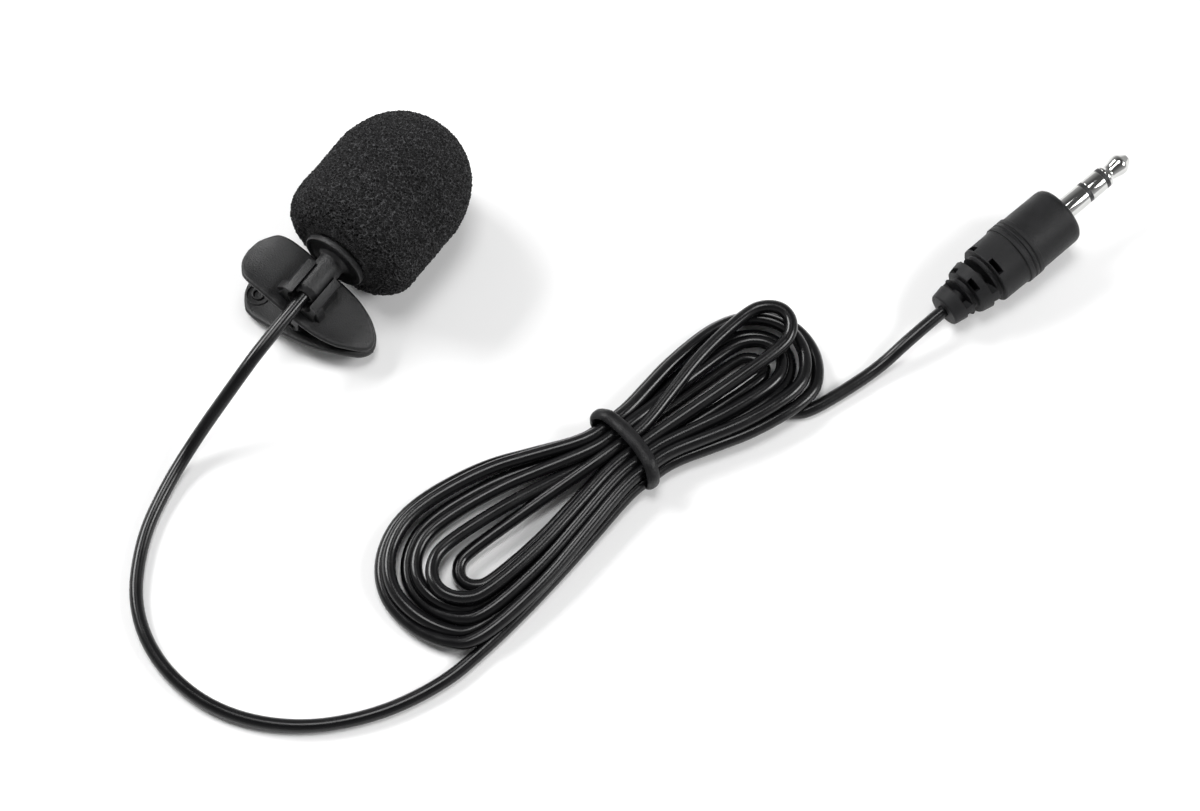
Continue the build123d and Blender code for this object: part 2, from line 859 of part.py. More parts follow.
def cord_tube(points, name):
    """A plain tube of cord along straight runs joined by arcs as large as the runs allow."""
    radii = []
    for before, here, after in zip(points, points[1:], points[2:]):
        a = Vector(*here) - Vector(*before)
        b = Vector(*after) - Vector(*here)
        radii.append(arc_share * min(a.length, b.length) / tan(radians(a.get_angle(b)) / 2))
    with BuildPart() as tube:
        with BuildLine() as route:
            FilletPolyline(*points, radius=radii)
        with BuildSketch(Plane(route.line @ 0, z_dir=route.line % 0)):
            Circle(cord_r)
        sweep(path=route.line)
    length = route.wires()[0].length
    ratio = tube.part.volume / (pi * cord_r**2 * length)
    print(f"{name}: length {length:.1f}, radii {[round(r, 1) for r in radii]}, volume ratio {ratio:.4f}")
    save(tube.part, name, BLACK_RUBBER)
    return length


stem_rear = flange_y + stem_end
lead_points = [
    (axis_x, stem_rear, axis_z),
    (axis_x, stem_rear - 9.5, axis_z),
    (0.0, -33.0, 7.6),
    (-1.2, -41.0, 2.4),
    (-0.4, -49.0, 1.0),
    (2.0, -57.5, 1.0),
    (7.8, -66.5, 1.0),
    (17.0, -71.5, 1.0),
    (28.0, -72.0, 1.0),
    (38.5, -67.5, 1.0),
    (46.5, -59.5, 1.0),
    (51.5, -50.0, 1.0),
    (53.2, -42.0, 1.0),
]
plug_exit = plug_origin + plug_dir * cord_plug_start
plug_run = plug_exit - plug_dir * plug_exit_run
tail_points = [
    (70.3, 16.2, 1.0),
    (72.9, 22.4, 1.0),
    (75.2, 29.0, 1.2),
    tuple(plug_run),
    tuple(plug_exit),
]
lead_length = cord_tube(lead_points, "cord_lead")
tail_length = cord_tube(tail_points, "cord_tail")

along = Vector(cos(radians(hank_heading)), sin(radians(hank_heading)), 0)
across_dir = Vector(along.Y, -along.X, 0)
tie_centre = Vector(*hank_tie_at, 0)

tie_wide, tie_high = tie_inside


def hank_plane(station, middle):
    """The plane across the hank at a station from its tie, centred on the turns there."""
    return Plane(origin=tie_centre + along * station + middle, x_dir=across_dir * -1, z_dir=along)


# Station, then the two sides and the bottom and top of the wound turns there
hank_sections = [
    (-42.6, -4.5, 5.0, 0.6, 2.6),
    (-40.5, -8.8, 8.3, 0.1, 4.4),
    (-36.0, -12.8, 10.5, 0.0, 5.4),
    (-29.0, -14.8, 10.6, 0.0, 6.0),
    (-20.0, -14.0, 9.0, 0.0, 6.2),
    (-9.0, -9.7, 7.3, 0.2, 6.2),
    (-1.5, -6.1, 6.2, tie_t, tie_t + tie_high),
    (1.5, -6.1, 6.2, tie_t, tie_t + tie_high),
    (9.0, -7.3, 7.8, 0.2, 6.6),
    (18.0, -9.3, 10.6, 0.0, 7.4),
    (26.0, -8.4, 12.0, 0.0, 7.6),
    (31.5, -5.8, 9.2, 0.1, 6.4),
    (34.3, -2.6, 4.6, 0.8, 3.4),
]

with BuildPart() as cord_hank:
    for station, side_a, side_b, low, high in hank_sections:
        middle = across_dir * ((side_a + side_b) / 2) + Vector(0, 0, (low + high) / 2)
        with BuildSketch(hank_plane(station, middle)):
            RectangleRounded(side_b - side_a, high - low, (high - low) * tie_corner)
    loft(ruled=True)
save(cord_hank.part, "cord_hank", BLACK_RUBBER)

with BuildPart() as cord_tie:
    with BuildSketch(hank_plane(0, Vector(0, 0, tie_t + tie_high / 2))):
        RectangleRounded(tie_wide + 2 * tie_t, tie_high + 2 * tie_t, tie_high * tie_corner + tie_t)
        RectangleRounded(tie_wide, tie_high, tie_high * tie_corner, mode=Mode.SUBTRACT)
    extrude(amount=tie_w / 2, both=True)
    fillet(cord_tie.edges(), radius=tie_edge_round)
save(cord_tie.part, "cord_tie", BLACK_RUBBER)

print(f"origin check: axis_x {axis_x:.2f}, flange_y {flange_y:.2f}, axis_z {axis_z:.2f}")
print(f"cord outside the hank: {lead_length + tail_length:.1f}")
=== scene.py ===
"""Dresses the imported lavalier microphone: its foam, head, clip, cord, tie and plug, on a pale table.

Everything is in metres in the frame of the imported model, with +Z up and the table at z = 0. The
microphone's axis runs along +Y, and the clip's bite faces +X.
"""

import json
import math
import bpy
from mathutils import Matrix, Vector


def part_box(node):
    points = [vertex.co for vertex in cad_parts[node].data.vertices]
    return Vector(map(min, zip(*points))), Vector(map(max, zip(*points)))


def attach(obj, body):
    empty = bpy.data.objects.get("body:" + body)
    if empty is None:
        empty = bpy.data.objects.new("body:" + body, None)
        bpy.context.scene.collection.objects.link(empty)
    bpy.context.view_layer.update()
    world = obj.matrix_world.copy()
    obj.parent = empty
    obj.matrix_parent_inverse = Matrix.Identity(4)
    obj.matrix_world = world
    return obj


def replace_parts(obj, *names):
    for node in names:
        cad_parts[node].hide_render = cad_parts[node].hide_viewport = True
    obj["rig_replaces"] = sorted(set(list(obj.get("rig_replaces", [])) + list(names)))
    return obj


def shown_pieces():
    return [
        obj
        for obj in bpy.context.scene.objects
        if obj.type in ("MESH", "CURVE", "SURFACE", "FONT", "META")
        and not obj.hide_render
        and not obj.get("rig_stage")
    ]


bl_info = {
    "name": "Lavalier Microphone",
    "version": (1, 0, 0),
    "blender": (4, 5, 0),
    "location": "View3D > Sidebar > Microphone",
    "description": "Builds the looks of a clip-on microphone around its packed model",
    "category": "Object",
}

import bmesh
import bpy
from bpy.props import FloatProperty, FloatVectorProperty, IntProperty, PointerProperty
from mathutils import Vector, noise

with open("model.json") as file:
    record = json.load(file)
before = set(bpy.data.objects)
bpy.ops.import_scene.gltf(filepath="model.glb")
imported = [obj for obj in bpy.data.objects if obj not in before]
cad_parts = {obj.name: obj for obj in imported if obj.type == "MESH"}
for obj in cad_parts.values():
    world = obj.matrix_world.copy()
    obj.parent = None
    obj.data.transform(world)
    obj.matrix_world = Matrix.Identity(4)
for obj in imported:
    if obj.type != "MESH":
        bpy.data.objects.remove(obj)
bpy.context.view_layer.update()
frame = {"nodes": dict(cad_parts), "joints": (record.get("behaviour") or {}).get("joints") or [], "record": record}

MM = 0.001
FORWARD, AHEAD, UPWARD = Vector((1, 0, 0)), Vector((0, 1, 0)), Vector((0, 0, 1))
JOINTS = {joint["name"]: joint for joint in frame["joints"]}
MOUNTS = {mount["name"]: mount for mount in frame["record"]["mounts"]}
SLOTS = {part["node"]: part["material_slot"] for part in frame["record"]["subparts"]}

# The clip turns about the microphone's axis, and the jaws about the hinge pin
SWIVEL = Vector(JOINTS["clip_swivel"]["pos_m"])
HINGE = Vector(JOINTS["jaw_hinge"]["pos_m"])
HEAD_REAR = Vector((SWIVEL.x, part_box("head_housing")[0].y, SWIVEL.z))
STEM_LENGTH = 7.0 * MM
FLANGE = HEAD_REAR + AHEAD * STEM_LENGTH

# The plug's axis starts at the front face of its grip
PLUG_DIR = Vector(MOUNTS["plug_pin"]["axis"]).normalized()
PIN_LENGTH = MOUNTS["plug_pin"]["dims"]["length_mm"] * MM
PLUG_FACE = Vector(MOUNTS["plug_pin"]["pos_m"]) - PLUG_DIR * PIN_LENGTH / 2
PLUG_RADIUS = MOUNTS["plug_pin"]["dims"]["r_mm"] * MM

TIE_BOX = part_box("cord_tie")
TIE_CENTRE = (TIE_BOX[0] + TIE_BOX[1]) / 2


# --------------------------------------------------------------------------------- settings


def length_setting(name, description, default):
    """A length in metres."""
    return FloatProperty(name=name, description=description, default=default, unit="LENGTH", precision=5)


def angle_setting(name, description, degrees):
    """An angle, given in degrees and kept in radians."""
    default = math.radians(degrees)
    return FloatProperty(name=name, description=description, default=default, unit="ROTATION")


def colour_setting(name, description, default):
    """A colour, in linear red, green and blue."""
    return FloatVectorProperty(name=name, description=description, default=default, subtype="COLOR")


class FoamSettings(bpy.types.PropertyGroup):
    """The foam windscreen."""

    cell: length_setting("Cell", "Size of the foam's cells", 0.5 * MM)
    depth: length_setting("Depth", "Depth of the cells at the skin", 0.36 * MM)
    around: IntProperty(name="Around", description="Faces round the foam", default=380)
    # pit is painted shade: the cells' hollows are coloured near black, darker than the foam's own struts
    pit: colour_setting("Pit", "Colour inside the cells", (0.0012, 0.0012, 0.0014))
    strut: colour_setting("Strut", "Colour of the cells' struts", (0.1, 0.1, 0.104))


class CordSettings(bpy.types.PropertyGroup):
    """The cord, its hank and the tie round it."""

    diameter: length_setting("Diameter", "Thickness of the cord", 2.0 * MM)
    length: length_setting("Length", "Length from the head to the plug", 1.12)
    heading: angle_setting("Heading", "Which way the hank points", 74)
    colour: colour_setting("Colour", "Colour of the jacket", (0.0035, 0.0035, 0.004))
    tie_colour: colour_setting("Tie", "Colour of the tie", (0.006, 0.006, 0.0065))


class ClipSettings(bpy.types.PropertyGroup):
    """The microphone's head and its clip."""

    colour: colour_setting("Colour", "Colour of the plastic", (0.0065, 0.0065, 0.007))
    grain: length_setting("Grain", "Size of the moulded texture", 0.22 * MM)
    curl: length_setting("Curl", "How far the jaws' edges curl up", 0.75 * MM)
    mark: length_setting("Mark", "Radius of the round moulded mark", 2.0 * MM)


class PlugSettings(bpy.types.PropertyGroup):
    """The plug and its moulded grip."""

    grip_colour: colour_setting("Grip", "Colour of the grip", (0.005, 0.005, 0.0055))
    metal_colour: colour_setting("Metal", "Colour of the contacts", (0.62, 0.62, 0.61))
    roll: angle_setting("Roll", "Turn of the relief's slots", 20)
    around: IntProperty(name="Around", description="Faces round the grip", default=144)


class StageSettings(bpy.types.PropertyGroup):
    """The table, the lights and the camera."""

    azimuth: angle_setting("Azimuth", "Camera's direction round the object", 35.2)
    elevation: angle_setting("Elevation", "Camera's height above the table", 64)
    distance: length_setting("Distance", "From the camera to its aim", 0.4263)
    aim: FloatVectorProperty(
        name="Aim",
        description="Where the camera looks",
        subtype="TRANSLATION",
        default=(0.044, -0.0003, 0.0),
    )
    lens: FloatProperty(name="Lens", description="Focal length in millimetres", default=85.0)
    table: colour_setting("Table", "Colour of the table", (0.93, 0.93, 0.93))


# -------------------------------------------------------------------------------- materials


class Wire:
    """One output in a node tree. Sums and products of wires add Math nodes."""

    def __init__(self, graph, socket):
        self.graph = graph
        self.socket = socket

    def maths(self, operation, *terms):
        return self.graph.node("ShaderNodeMath", {"operation": operation}, *terms)

    def __add__(self, other):
        return self.maths("ADD", self, other)

    def __mul__(self, other):
        return self.maths("MULTIPLY", self, other)

    __radd__ = __add__
    __rmul__ = __mul__


class Graph:
    """A node tree under construction."""

    def __init__(self, tree):
        self.tree = tree

    def node(self, kind, settings, *values, sockets=None, output=0):
        """Adds a node with its settings, then its sockets' values or links, and returns one output."""
        made = self.tree.nodes.new(kind)
        for key, value in settings.items():
            setattr(made, key, value)
        for key, value in [*enumerate(values), *(sockets or {}).items()]:
            self.plug(made.inputs[key], value)
        return Wire(self, made.outputs[output])

    def plug(self, socket, value):
        """Links a wire into a socket, or sets the socket's own value."""
        if isinstance(value, Wire):
            self.tree.links.new(value.socket, socket)
        elif hasattr(value, "__len__") and len(value) == 3 and socket.type == "RGBA":
            socket.default_value = (*value, 1.0)
        else:
            socket.default_value = value

    def spread(self, value, low, high, to_low=0.0, to_high=1.0):
        """Maps a value from one range to another, clamped."""
        return self.node("ShaderNodeMapRange", {"clamp": True}, value, low, high, to_low, to_high)


class Finish(Graph):
    """A material under construction: a Principled shader and the nodes that feed it."""

    def __init__(self, name, constants):
        self.material = bpy.data.materials.new(name)
        self.material.use_nodes = True
        super().__init__(self.material.node_tree)
        self.shader = self.tree.nodes["Principled BSDF"]
        for socket, value in constants.items():
            self.plug(self.shader.inputs[socket], value)
        self.place = self.node("ShaderNodeTexCoord", {}, output="Object")

    def noise(self, size, detail=3.0, roughness=0.55):
        """Cloudy noise with features of about a given size in metres."""
        sockets = {"Vector": self.place, "Scale": 1 / size, "Detail": detail, "Roughness": roughness}
        return self.node("ShaderNodeTexNoise", {}, sockets=sockets)

    def cells(self, size, feature="F1"):
        """Distances in a field of round cells of about a given size in metres."""
        sockets = {"Vector": self.place, "Scale": 1 / size}
        return self.node("ShaderNodeTexVoronoi", {"feature": feature}, sockets=sockets)

    def blend(self, share, first, second):
        """Mixes two colours."""
        sockets = {0: share, 6: (*first, 1.0), 7: (*second, 1.0)}
        return self.node("ShaderNodeMix", {"data_type": "RGBA"}, sockets=sockets, output=2)

    def feed(self, **wires):
        """Links wires to the shader, by the socket's name with underscores for spaces."""
        for name, wire in wires.items():
            self.plug(self.shader.inputs[name.replace("_", " ")], wire)

    def bump(self, height, distance, strength):
        """Feeds the shader's normal from a height in metres."""
        sockets = {"Strength": strength, "Distance": distance, "Height": height}
        self.feed(Normal=self.node("ShaderNodeBump", {}, sockets=sockets))


def shade_of(colour, factor):
    """A colour made lighter or darker."""
    return tuple(min(1.0, channel * factor) for channel in colour)


def foam_finish(settings):
    """Open-cell foam: pale struts round pits darkened with painted shade, matt."""
    made = Finish("foam", {"Roughness": 0.85, "Specular IOR Level": 0.3})
    edge = made.cells(settings.cell, "DISTANCE_TO_EDGE")
    fine = made.noise(settings.cell, 2.0, 0.6)
    patch = made.noise(4.0 * MM)
    strut = made.spread(edge, 0.03, 0.2, 1.0, 0.0)
    share = strut * made.spread(fine, 0.42, 0.6, 0.06, 1.0)
    share = share * made.spread(patch, 0.3, 0.7, 0.75, 1.0)
    # Away from the struts the colour falls to the pit colour: painted shade inside the cells
    made.feed(Base_Color=made.blend(share, settings.pit, settings.strut))
    made.bump(share + fine * 0.5, settings.depth, 1.0)
    return made.material


def plastic_finish(name, colour, grain, rough=0.42):
    """Moulded plastic: a fine spark-eroded grain, with faint rubbed patches."""
    made = Finish(name, {"Specular IOR Level": 0.4})
    fine = made.noise(grain, 2.0, 0.6)
    worn = made.noise(3.0 * MM, 4.0, 0.6)
    made.feed(Base_Color=made.blend(made.spread(worn, 0.35, 0.7), colour, shade_of(colour, 1.5)))
    made.feed(Roughness=made.spread(worn + fine * 0.3, 0.35, 0.95, rough - 0.07, rough + 0.08))
    made.bump(fine, 0.1 * MM, 0.8)
    return made.material


def jacket_finish(name, colour, rough):
    """Flexible cord jacket: smooth and half glossy, faintly uneven, with specks of dust."""
    made = Finish(name, {"Specular IOR Level": 0.38})
    smear = made.noise(2.5 * MM, 5.0, 0.6)
    speck = made.cells(0.9 * MM)
    dust = made.spread(speck, 0.02, 0.07, 1.0, 0.0) * made.spread(smear, 0.5, 0.62)
    made.feed(Base_Color=made.blend(dust * 0.5, colour, shade_of(colour, 9)))
    made.feed(Roughness=made.spread(smear, 0.3, 0.7, rough - 0.03, rough + 0.07))
    made.bump(made.noise(0.35 * MM, 2.0), 0.012 * MM, 0.5)
    return made.material


def rubber_finish(name, colour, grain, rough=0.5):
    """Moulded rubber or soft vinyl with a fine matt grain."""
    made = Finish(name, {"Specular IOR Level": 0.22})
    fine = made.noise(grain, 3.0, 0.7)
    broad = made.noise(2.2 * MM, 3.0)
    share = made.spread(broad + fine * 0.5, 0.5, 1.0)
    made.feed(Base_Color=made.blend(share, colour, shade_of(colour, 1.9)))
    made.feed(Roughness=made.spread(broad, 0.3, 0.7, rough - 0.06, rough + 0.06))
    made.bump(fine, 0.07 * MM, 0.8)
    return made.material


def metal_finish(name, colour, rough):
    """Plated or bright metal with a slightly uneven polish."""
    made = Finish(name, {"Metallic": 1.0})
    cloud = made.noise(1.8 * MM, 4.0)
    made.feed(Base_Color=made.blend(made.spread(cloud, 0.3, 0.7), colour, shade_of(colour, 0.92)))
    made.feed(Roughness=made.spread(cloud, 0.3, 0.7, rough, rough + 0.05))
    return made.material


def table_finish(colour):
    """Pale matt table top."""
    made = Finish("table", {"Specular IOR Level": 0.2})
    made.feed(Base_Color=made.blend(made.noise(30 * MM), colour, shade_of(colour, 0.985)))
    made.feed(Roughness=made.spread(made.noise(8 * MM), 0.3, 0.7, 0.6, 0.7))
    return made.material


def slot_finish(slot):
    """The material of a CAD piece that stays in view or inside, by its slot in the record."""
    found = bpy.data.materials.get(slot)
    if found:
        return found
    colour = next(m["base_color"] for m in frame["record"]["materials"] if m["slot"] == slot)[:3]
    if slot in ("grille_metal", "capsule_metal", "brass", "solder", "spring_steel", "plug_metal"):
        return metal_finish(slot, colour, 0.22)
    if slot in ("rubber_inner", "felt"):
        return rubber_finish(slot, colour, 0.2 * MM, 0.8)
    if slot in ("cord_jacket", "wire_red", "wire_white"):
        return jacket_finish(slot, colour, 0.35)
    return plastic_finish(slot, colour, 0.2 * MM)


# --------------------------------------------------------------------------- making of meshes


def add_mesh(name, points, faces):
    """A smooth-shaded mesh object from points and faces."""
    mesh = bpy.data.meshes.new(name)
    mesh.from_pydata([tuple(p) for p in points], [], faces)
    mesh.validate()
    made = bpy.data.objects.new(name, mesh)
    bpy.context.scene.collection.objects.link(made)
    work = bmesh.new()
    work.from_mesh(mesh)
    bmesh.ops.recalc_face_normals(work, faces=work.faces)
    for face in work.faces:
        face.smooth = True
    work.to_mesh(mesh)
    work.free()
    return made


def loft(name, rings, loop=False):
    """A closed skin through rings of equal length: looped, or closed at each end by a fan."""
    count = len(rings[0])
    points = [p for ring in rings for p in ring]
    faces = []
    last = len(rings) if loop else len(rings) - 1
    for i in range(last):
        here, there = i * count, (i + 1) % len(rings) * count
        for j in range(count):
            k = (j + 1) % count
            faces.append((here + j, here + k, there + k, there + j))
    if not loop:
        for ring, base in ((rings[0], 0), (rings[-1], (len(rings) - 1) * count)):
            centre = sum((Vector(p) for p in ring), Vector()) / count
            points.append(centre)
            faces += [(base + j, base + (j + 1) % count, len(points) - 1) for j in range(count)]
    return add_mesh(name, points, faces)


def soften(profile, radius, steps=5):
    """Rounds the corners of an open outline. radius is one size, or one for each inner corner."""
    inner = len(profile) - 2
    sizes = radius if hasattr(radius, "__len__") else [radius] * inner
    made = [Vector(profile[0])]
    for i in range(1, inner + 1):
        before, here, after = (Vector(p) for p in profile[i - 1 : i + 2])
        back, on = before - here, after - here
        size = min(sizes[i - 1], back.length * 0.48, on.length * 0.48)
        start, end = here + back.normalized() * size, here + on.normalized() * size
        for k in range(steps + 1):
            t = k / steps
            made.append(start * (1 - t) ** 2 + here * (2 * t * (1 - t)) + end * t**2)
    made.append(Vector(profile[-1]))
    return made


def axis_frame(direction):
    """Two directions across an axis: the first as near to up as it can be, then the one beside it."""
    first = (UPWARD - direction * UPWARD.dot(direction)).normalized()
    return first, direction.cross(first).normalized()


def lathe(name, profile, origin, direction, around=96):
    """Turns an outline of (station, radius) points in millimetres about an axis."""
    first, second = axis_frame(direction)
    rings = []
    for station, radius in profile:
        centre = origin + direction * station * MM
        reach = max(radius, 0.002) * MM
        rings.append(
            [
                centre + (first * math.cos(a) + second * math.sin(a)) * reach
                for a in (2 * math.pi * j / around for j in range(around))
            ]
        )
    return loft(name, rings, loop=profile[0] == profile[-1])


def smooth_line(points, x):
    """The height at x of a smooth line through (x, height) points."""
    if x <= points[0][0]:
        return points[0][1]
    for i in range(len(points) - 1):
        (x0, z0), (x1, z1) = points[i], points[i + 1]
        if x <= x1:
            xa, za = points[max(i - 1, 0)]
            xb, zb = points[min(i + 2, len(points) - 1)]
            slope0, slope1 = (z1 - za) / (x1 - xa), (zb - z0) / (xb - x0)
            t, run = (x - x0) / (x1 - x0), x1 - x0
            return (
                z0 * (2 * t**3 - 3 * t**2 + 1)
                + slope0 * run * (t**3 - 2 * t**2 + t)
                + z1 * (3 * t**2 - 2 * t**3)
                + slope1 * run * (t**3 - t**2)
            )
    return points[-1][1]


def prism(name, outline, origin, x_dir, y_dir, depth, round_off):
    """A block with a given outline in millimetres, centred on its plane, with rounded edges."""
    normal = x_dir.cross(y_dir)
    rings = [
        [origin + (x_dir * x + y_dir * y + normal * side * depth / 2) * MM for x, y in outline]
        for side in (-1, 1)
    ]
    count = len(outline)
    faces = [(j, (j + 1) % count, count + (j + 1) % count, count + j) for j in range(count)]
    faces += [tuple(range(count)), tuple(range(count, 2 * count))]
    made = add_mesh(name, rings[0] + rings[1], faces)
    bevel = made.modifiers.new("Rounded edges", "BEVEL")
    bevel.width = round_off * MM
    bevel.segments = 3
    bevel.limit_method = "ANGLE"
    bevel.angle_limit = math.radians(35)
    return made


def merge(name, parts):
    """One object from several, with their modifiers applied."""
    depsgraph = bpy.context.evaluated_depsgraph_get()
    work = bmesh.new()
    for part in parts:
        mesh = bpy.data.meshes.new_from_object(part.evaluated_get(depsgraph))
        work.from_mesh(mesh)
        bpy.data.objects.remove(part)
        bpy.data.meshes.remove(mesh)
    mesh = bpy.data.meshes.new(name)
    work.to_mesh(mesh)
    work.free()
    made = bpy.data.objects.new(name, mesh)
    bpy.context.scene.collection.objects.link(made)
    return made


def sharpen(piece, degrees=38):
    """Keeps a smooth-shaded piece's real edges crisp."""
    work = bmesh.new()
    work.from_mesh(piece.data)
    for edge in work.edges:
        edge.smooth = not (len(edge.link_faces) == 2 and edge.calc_face_angle(0) > math.radians(degrees))
    work.to_mesh(piece.data)
    work.free()


def place(piece, body, slot, material, *nodes):
    """Gives a piece its material, its body and the CAD nodes that it stands for. The slot is not used."""
    piece.data.materials.clear()
    piece.data.materials.append(material)
    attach(piece, body)
    if nodes:
        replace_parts(piece, *nodes)
    return piece


# ------------------------------------------------------------------------------------ cord

# From the head to the hank, along the table
LEAD = (
    (0.0007, -0.0248, 0.0112),
    (0.0000, -0.0330, 0.0076),
    (-0.0012, -0.0410, 0.0024),
    (-0.0004, -0.0490, 0.0010),
    (0.0020, -0.0575, 0.0010),
    (0.0078, -0.0665, 0.0010),
    (0.0170, -0.0715, 0.0010),
    (0.0280, -0.0720, 0.0010),
    (0.0385, -0.0675, 0.0010),
    (0.0465, -0.0595, 0.0010),
    (0.0515, -0.0500, 0.0010),
    (0.0532, -0.0420, 0.0010),
)
# From the hank to the plug
TAIL = ((0.0703, 0.0162, 0.0010), (0.0729, 0.0224, 0.0010), (0.0752, 0.0290, 0.0012))
PLUG_RUN = 7.0 * MM
RELIEF_END = 24.3

# The hank is drawn from its tie, in millimetres: along it, across it and up. Each turn has a loop
# at either end: its reach, where its two sides run, and its height on the first side, at the end
# and on the second side.
RIGHT_LOOPS = (
    (33.1, 10.6, -8.4, 3.0, 1.3, 1.0),
    (31.6, 8.9, -7.6, 4.3, 2.9, 2.6),
    (29.4, 7.2, -5.6, 3.0, 1.2, 1.0),
    (28.0, 5.8, -3.6, 4.2, 2.8, 2.4),
    (25.2, 3.6, -1.6, 2.9, 1.2, 1.4),
    (32.2, 2.2, -5.8, 5.2, 5.4, 4.6),
)
LEFT_LOOPS = (
    (-41.9, -13.6, 10.2, 1.0, 1.0, 2.6),
    (-40.6, -12.3, 8.4, 2.5, 2.6, 1.0),
    (-38.2, -10.2, 7.6, 1.0, 1.0, 2.7),
    (-37.0, -8.3, 5.9, 2.5, 2.8, 1.0),
    (-35.6, -4.6, 5.3, 3.6, 4.2, 3.6),
    (-31.6, -2.2, 3.7, 1.5, 1.4, 1.6),
)
# Where a loop's two sides turn into its round end, as shares of its reach
RIGHT_SHOULDERS = (0.74, 0.60)
LEFT_SHOULDERS = (0.64, 0.82)
# The cord's way into the first turn and out of the last
LEAD_IN = ((-28.0, 10.1, 1.0), (-20.0, 8.7, 1.1), (-12.0, 7.1, 1.5))
TAIL_OUT = ((9.0, 1.3, 1.2), (14.0, 3.6, 1.0), (19.5, 7.0, 1.0), (23.5, 9.9, 1.0))
# In the tie: half the straight run, the heights of the two rows, and where the outermost pass of
# each row lies across it, with the step from one pass to the next
TIE_RUN = 4.0
ROW_HEIGHTS = (2.2, 4.0)
LOWER_OUT, UPPER_OUT = 5.4, -5.4
LOWER_STEP, UPPER_STEP = -0.85, 0.9
# The knots round a loop's end, in degrees, and the longest round end for a loop's half width
END_ANGLES = (75, 45, 15, -15, -45, -75)
HALF_STEP = math.radians(15)
ROUND_END = 1.3

# The tie: half its width and height to the middle of the band, then the band itself
TIE_WIDE, TIE_HIGH = 6.75 * MM, 3.0 * MM
TIE_BAND, TIE_THICK = 1.1 * MM, 0.62 * MM
TIE_BOW, TIE_WAVE, TIE_WAVES = 1.1 * MM, 0.1 * MM, 9
TIE_SQUARENESS = 2 / 3
TIE_STEPS, TIE_ROUND = 120, 20


def hank_axes(heading):
    """Along the hank and across it, on the table."""
    along = Vector((math.cos(heading), math.sin(heading), 0))
    return along, Vector((along.y, -along.x, 0))


def tie_place(number, lower):
    """Where one pass of the cord lies in the tie: across and up."""
    out, step = (LOWER_OUT, LOWER_STEP) if lower else (UPPER_OUT, UPPER_STEP)
    return out + step * number, ROW_HEIGHTS[number % 2]


def side_points(tie, side, height, shoulder):
    """One side of a loop, from the tie to its shoulder."""
    made = []
    start = math.copysign(TIE_RUN, shoulder)
    for share in (0.3, 0.64):
        ease = math.sin(share * math.pi / 2) ** 1.2
        station = start + (shoulder - start) * share
        made.append((station, tie[0] + (side - tie[0]) * ease, tie[1] + (height - tie[1]) * ease))
    return made


def loop_points(tie_in, tie_out, loop, shoulders):
    """One loop beyond the tie: out along its first side, round its end and back."""
    reach, first, second, high_first, high_end, high_second = loop
    middle, half = (first + second) / 2, (first - second) / 2
    # A narrow loop has a short round end, so that the cord never kinks
    longest = ROUND_END * abs(half)
    start, finish = (
        math.copysign(max(abs(reach) * share, abs(reach) - longest), reach) for share in shoulders
    )
    made = side_points(tie_in, first, high_first, start)
    outset = 1 / math.cos(HALF_STEP)
    for angle in END_ANGLES:
        turn, ahead = math.sin(math.radians(angle)), math.cos(math.radians(angle))
        shoulder = finish + (start - finish) * (1 + turn) / 2
        height = high_end + (high_first - high_end) * max(turn, 0) ** 2
        height += (high_second - high_end) * max(-turn, 0) ** 2
        station = shoulder + (reach - shoulder) * ahead * outset
        made.append((station, middle + half * turn * outset, height))
    return made + side_points(tie_out, second, high_second, finish)[::-1]


def tie_points(spot, onward):
    """Straight through the tie, one way or the other."""
    return [(onward * station, spot[0], spot[1]) for station in (-TIE_RUN, 0.0, TIE_RUN)]


def hank_points(heading):
    """Every turn of the hank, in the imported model's frame."""
    along, across = hank_axes(heading)
    made = [*LEAD_IN]
    for number, (right, left) in enumerate(zip(RIGHT_LOOPS, LEFT_LOOPS)):
        lower, upper = tie_place(number, True), tie_place(number, False)
        made += tie_points(lower, 1)
        made += loop_points(lower, upper, right, RIGHT_SHOULDERS)
        made += tie_points(upper, -1)
        made += loop_points(upper, tie_place(number + 1, True), left, LEFT_SHOULDERS)
    made += tie_points(tie_place(len(RIGHT_LOOPS), True), 1)
    made += TAIL_OUT
    base = Vector((TIE_CENTRE.x, TIE_CENTRE.y, 0))
    return [base + (along * s + across * n + UPWARD * z) * MM for s, n, z in made]


class MICROPHONE_OT_cord(bpy.types.Operator):
    """Lays the cord from the head through its hank to the plug."""

    bl_idname = "microphone.cord"
    bl_label = "Cord"

    def execute(self, context):
        settings = context.scene.microphone_cord
        plug_exit = PLUG_FACE - PLUG_DIR * RELIEF_END * MM
        points = [HEAD_REAR, *LEAD, *hank_points(settings.heading), *TAIL]
        points += [plug_exit - PLUG_DIR * PLUG_RUN, plug_exit]
        curve = bpy.data.curves.new("cord", "CURVE")
        curve.dimensions = "3D"
        curve.bevel_depth = settings.diameter / 2
        curve.bevel_resolution = 6
        curve.resolution_u = 8
        curve.use_fill_caps = True
        spline = curve.splines.new("NURBS")
        spline.points.add(len(points) - 1)
        for knot, point in zip(spline.points, points):
            knot.co = (*point, 1.0)
        spline.order_u = 3
        spline.use_endpoint_u = True
        made = bpy.data.objects.new("cord", curve)
        context.scene.collection.objects.link(made)
        jacket = jacket_finish("cord_jacket", settings.colour, 0.22)
        place(made, "root", "cord_jacket", jacket, "cord_lead", "cord_hank", "cord_tail")
        return {"FINISHED"}


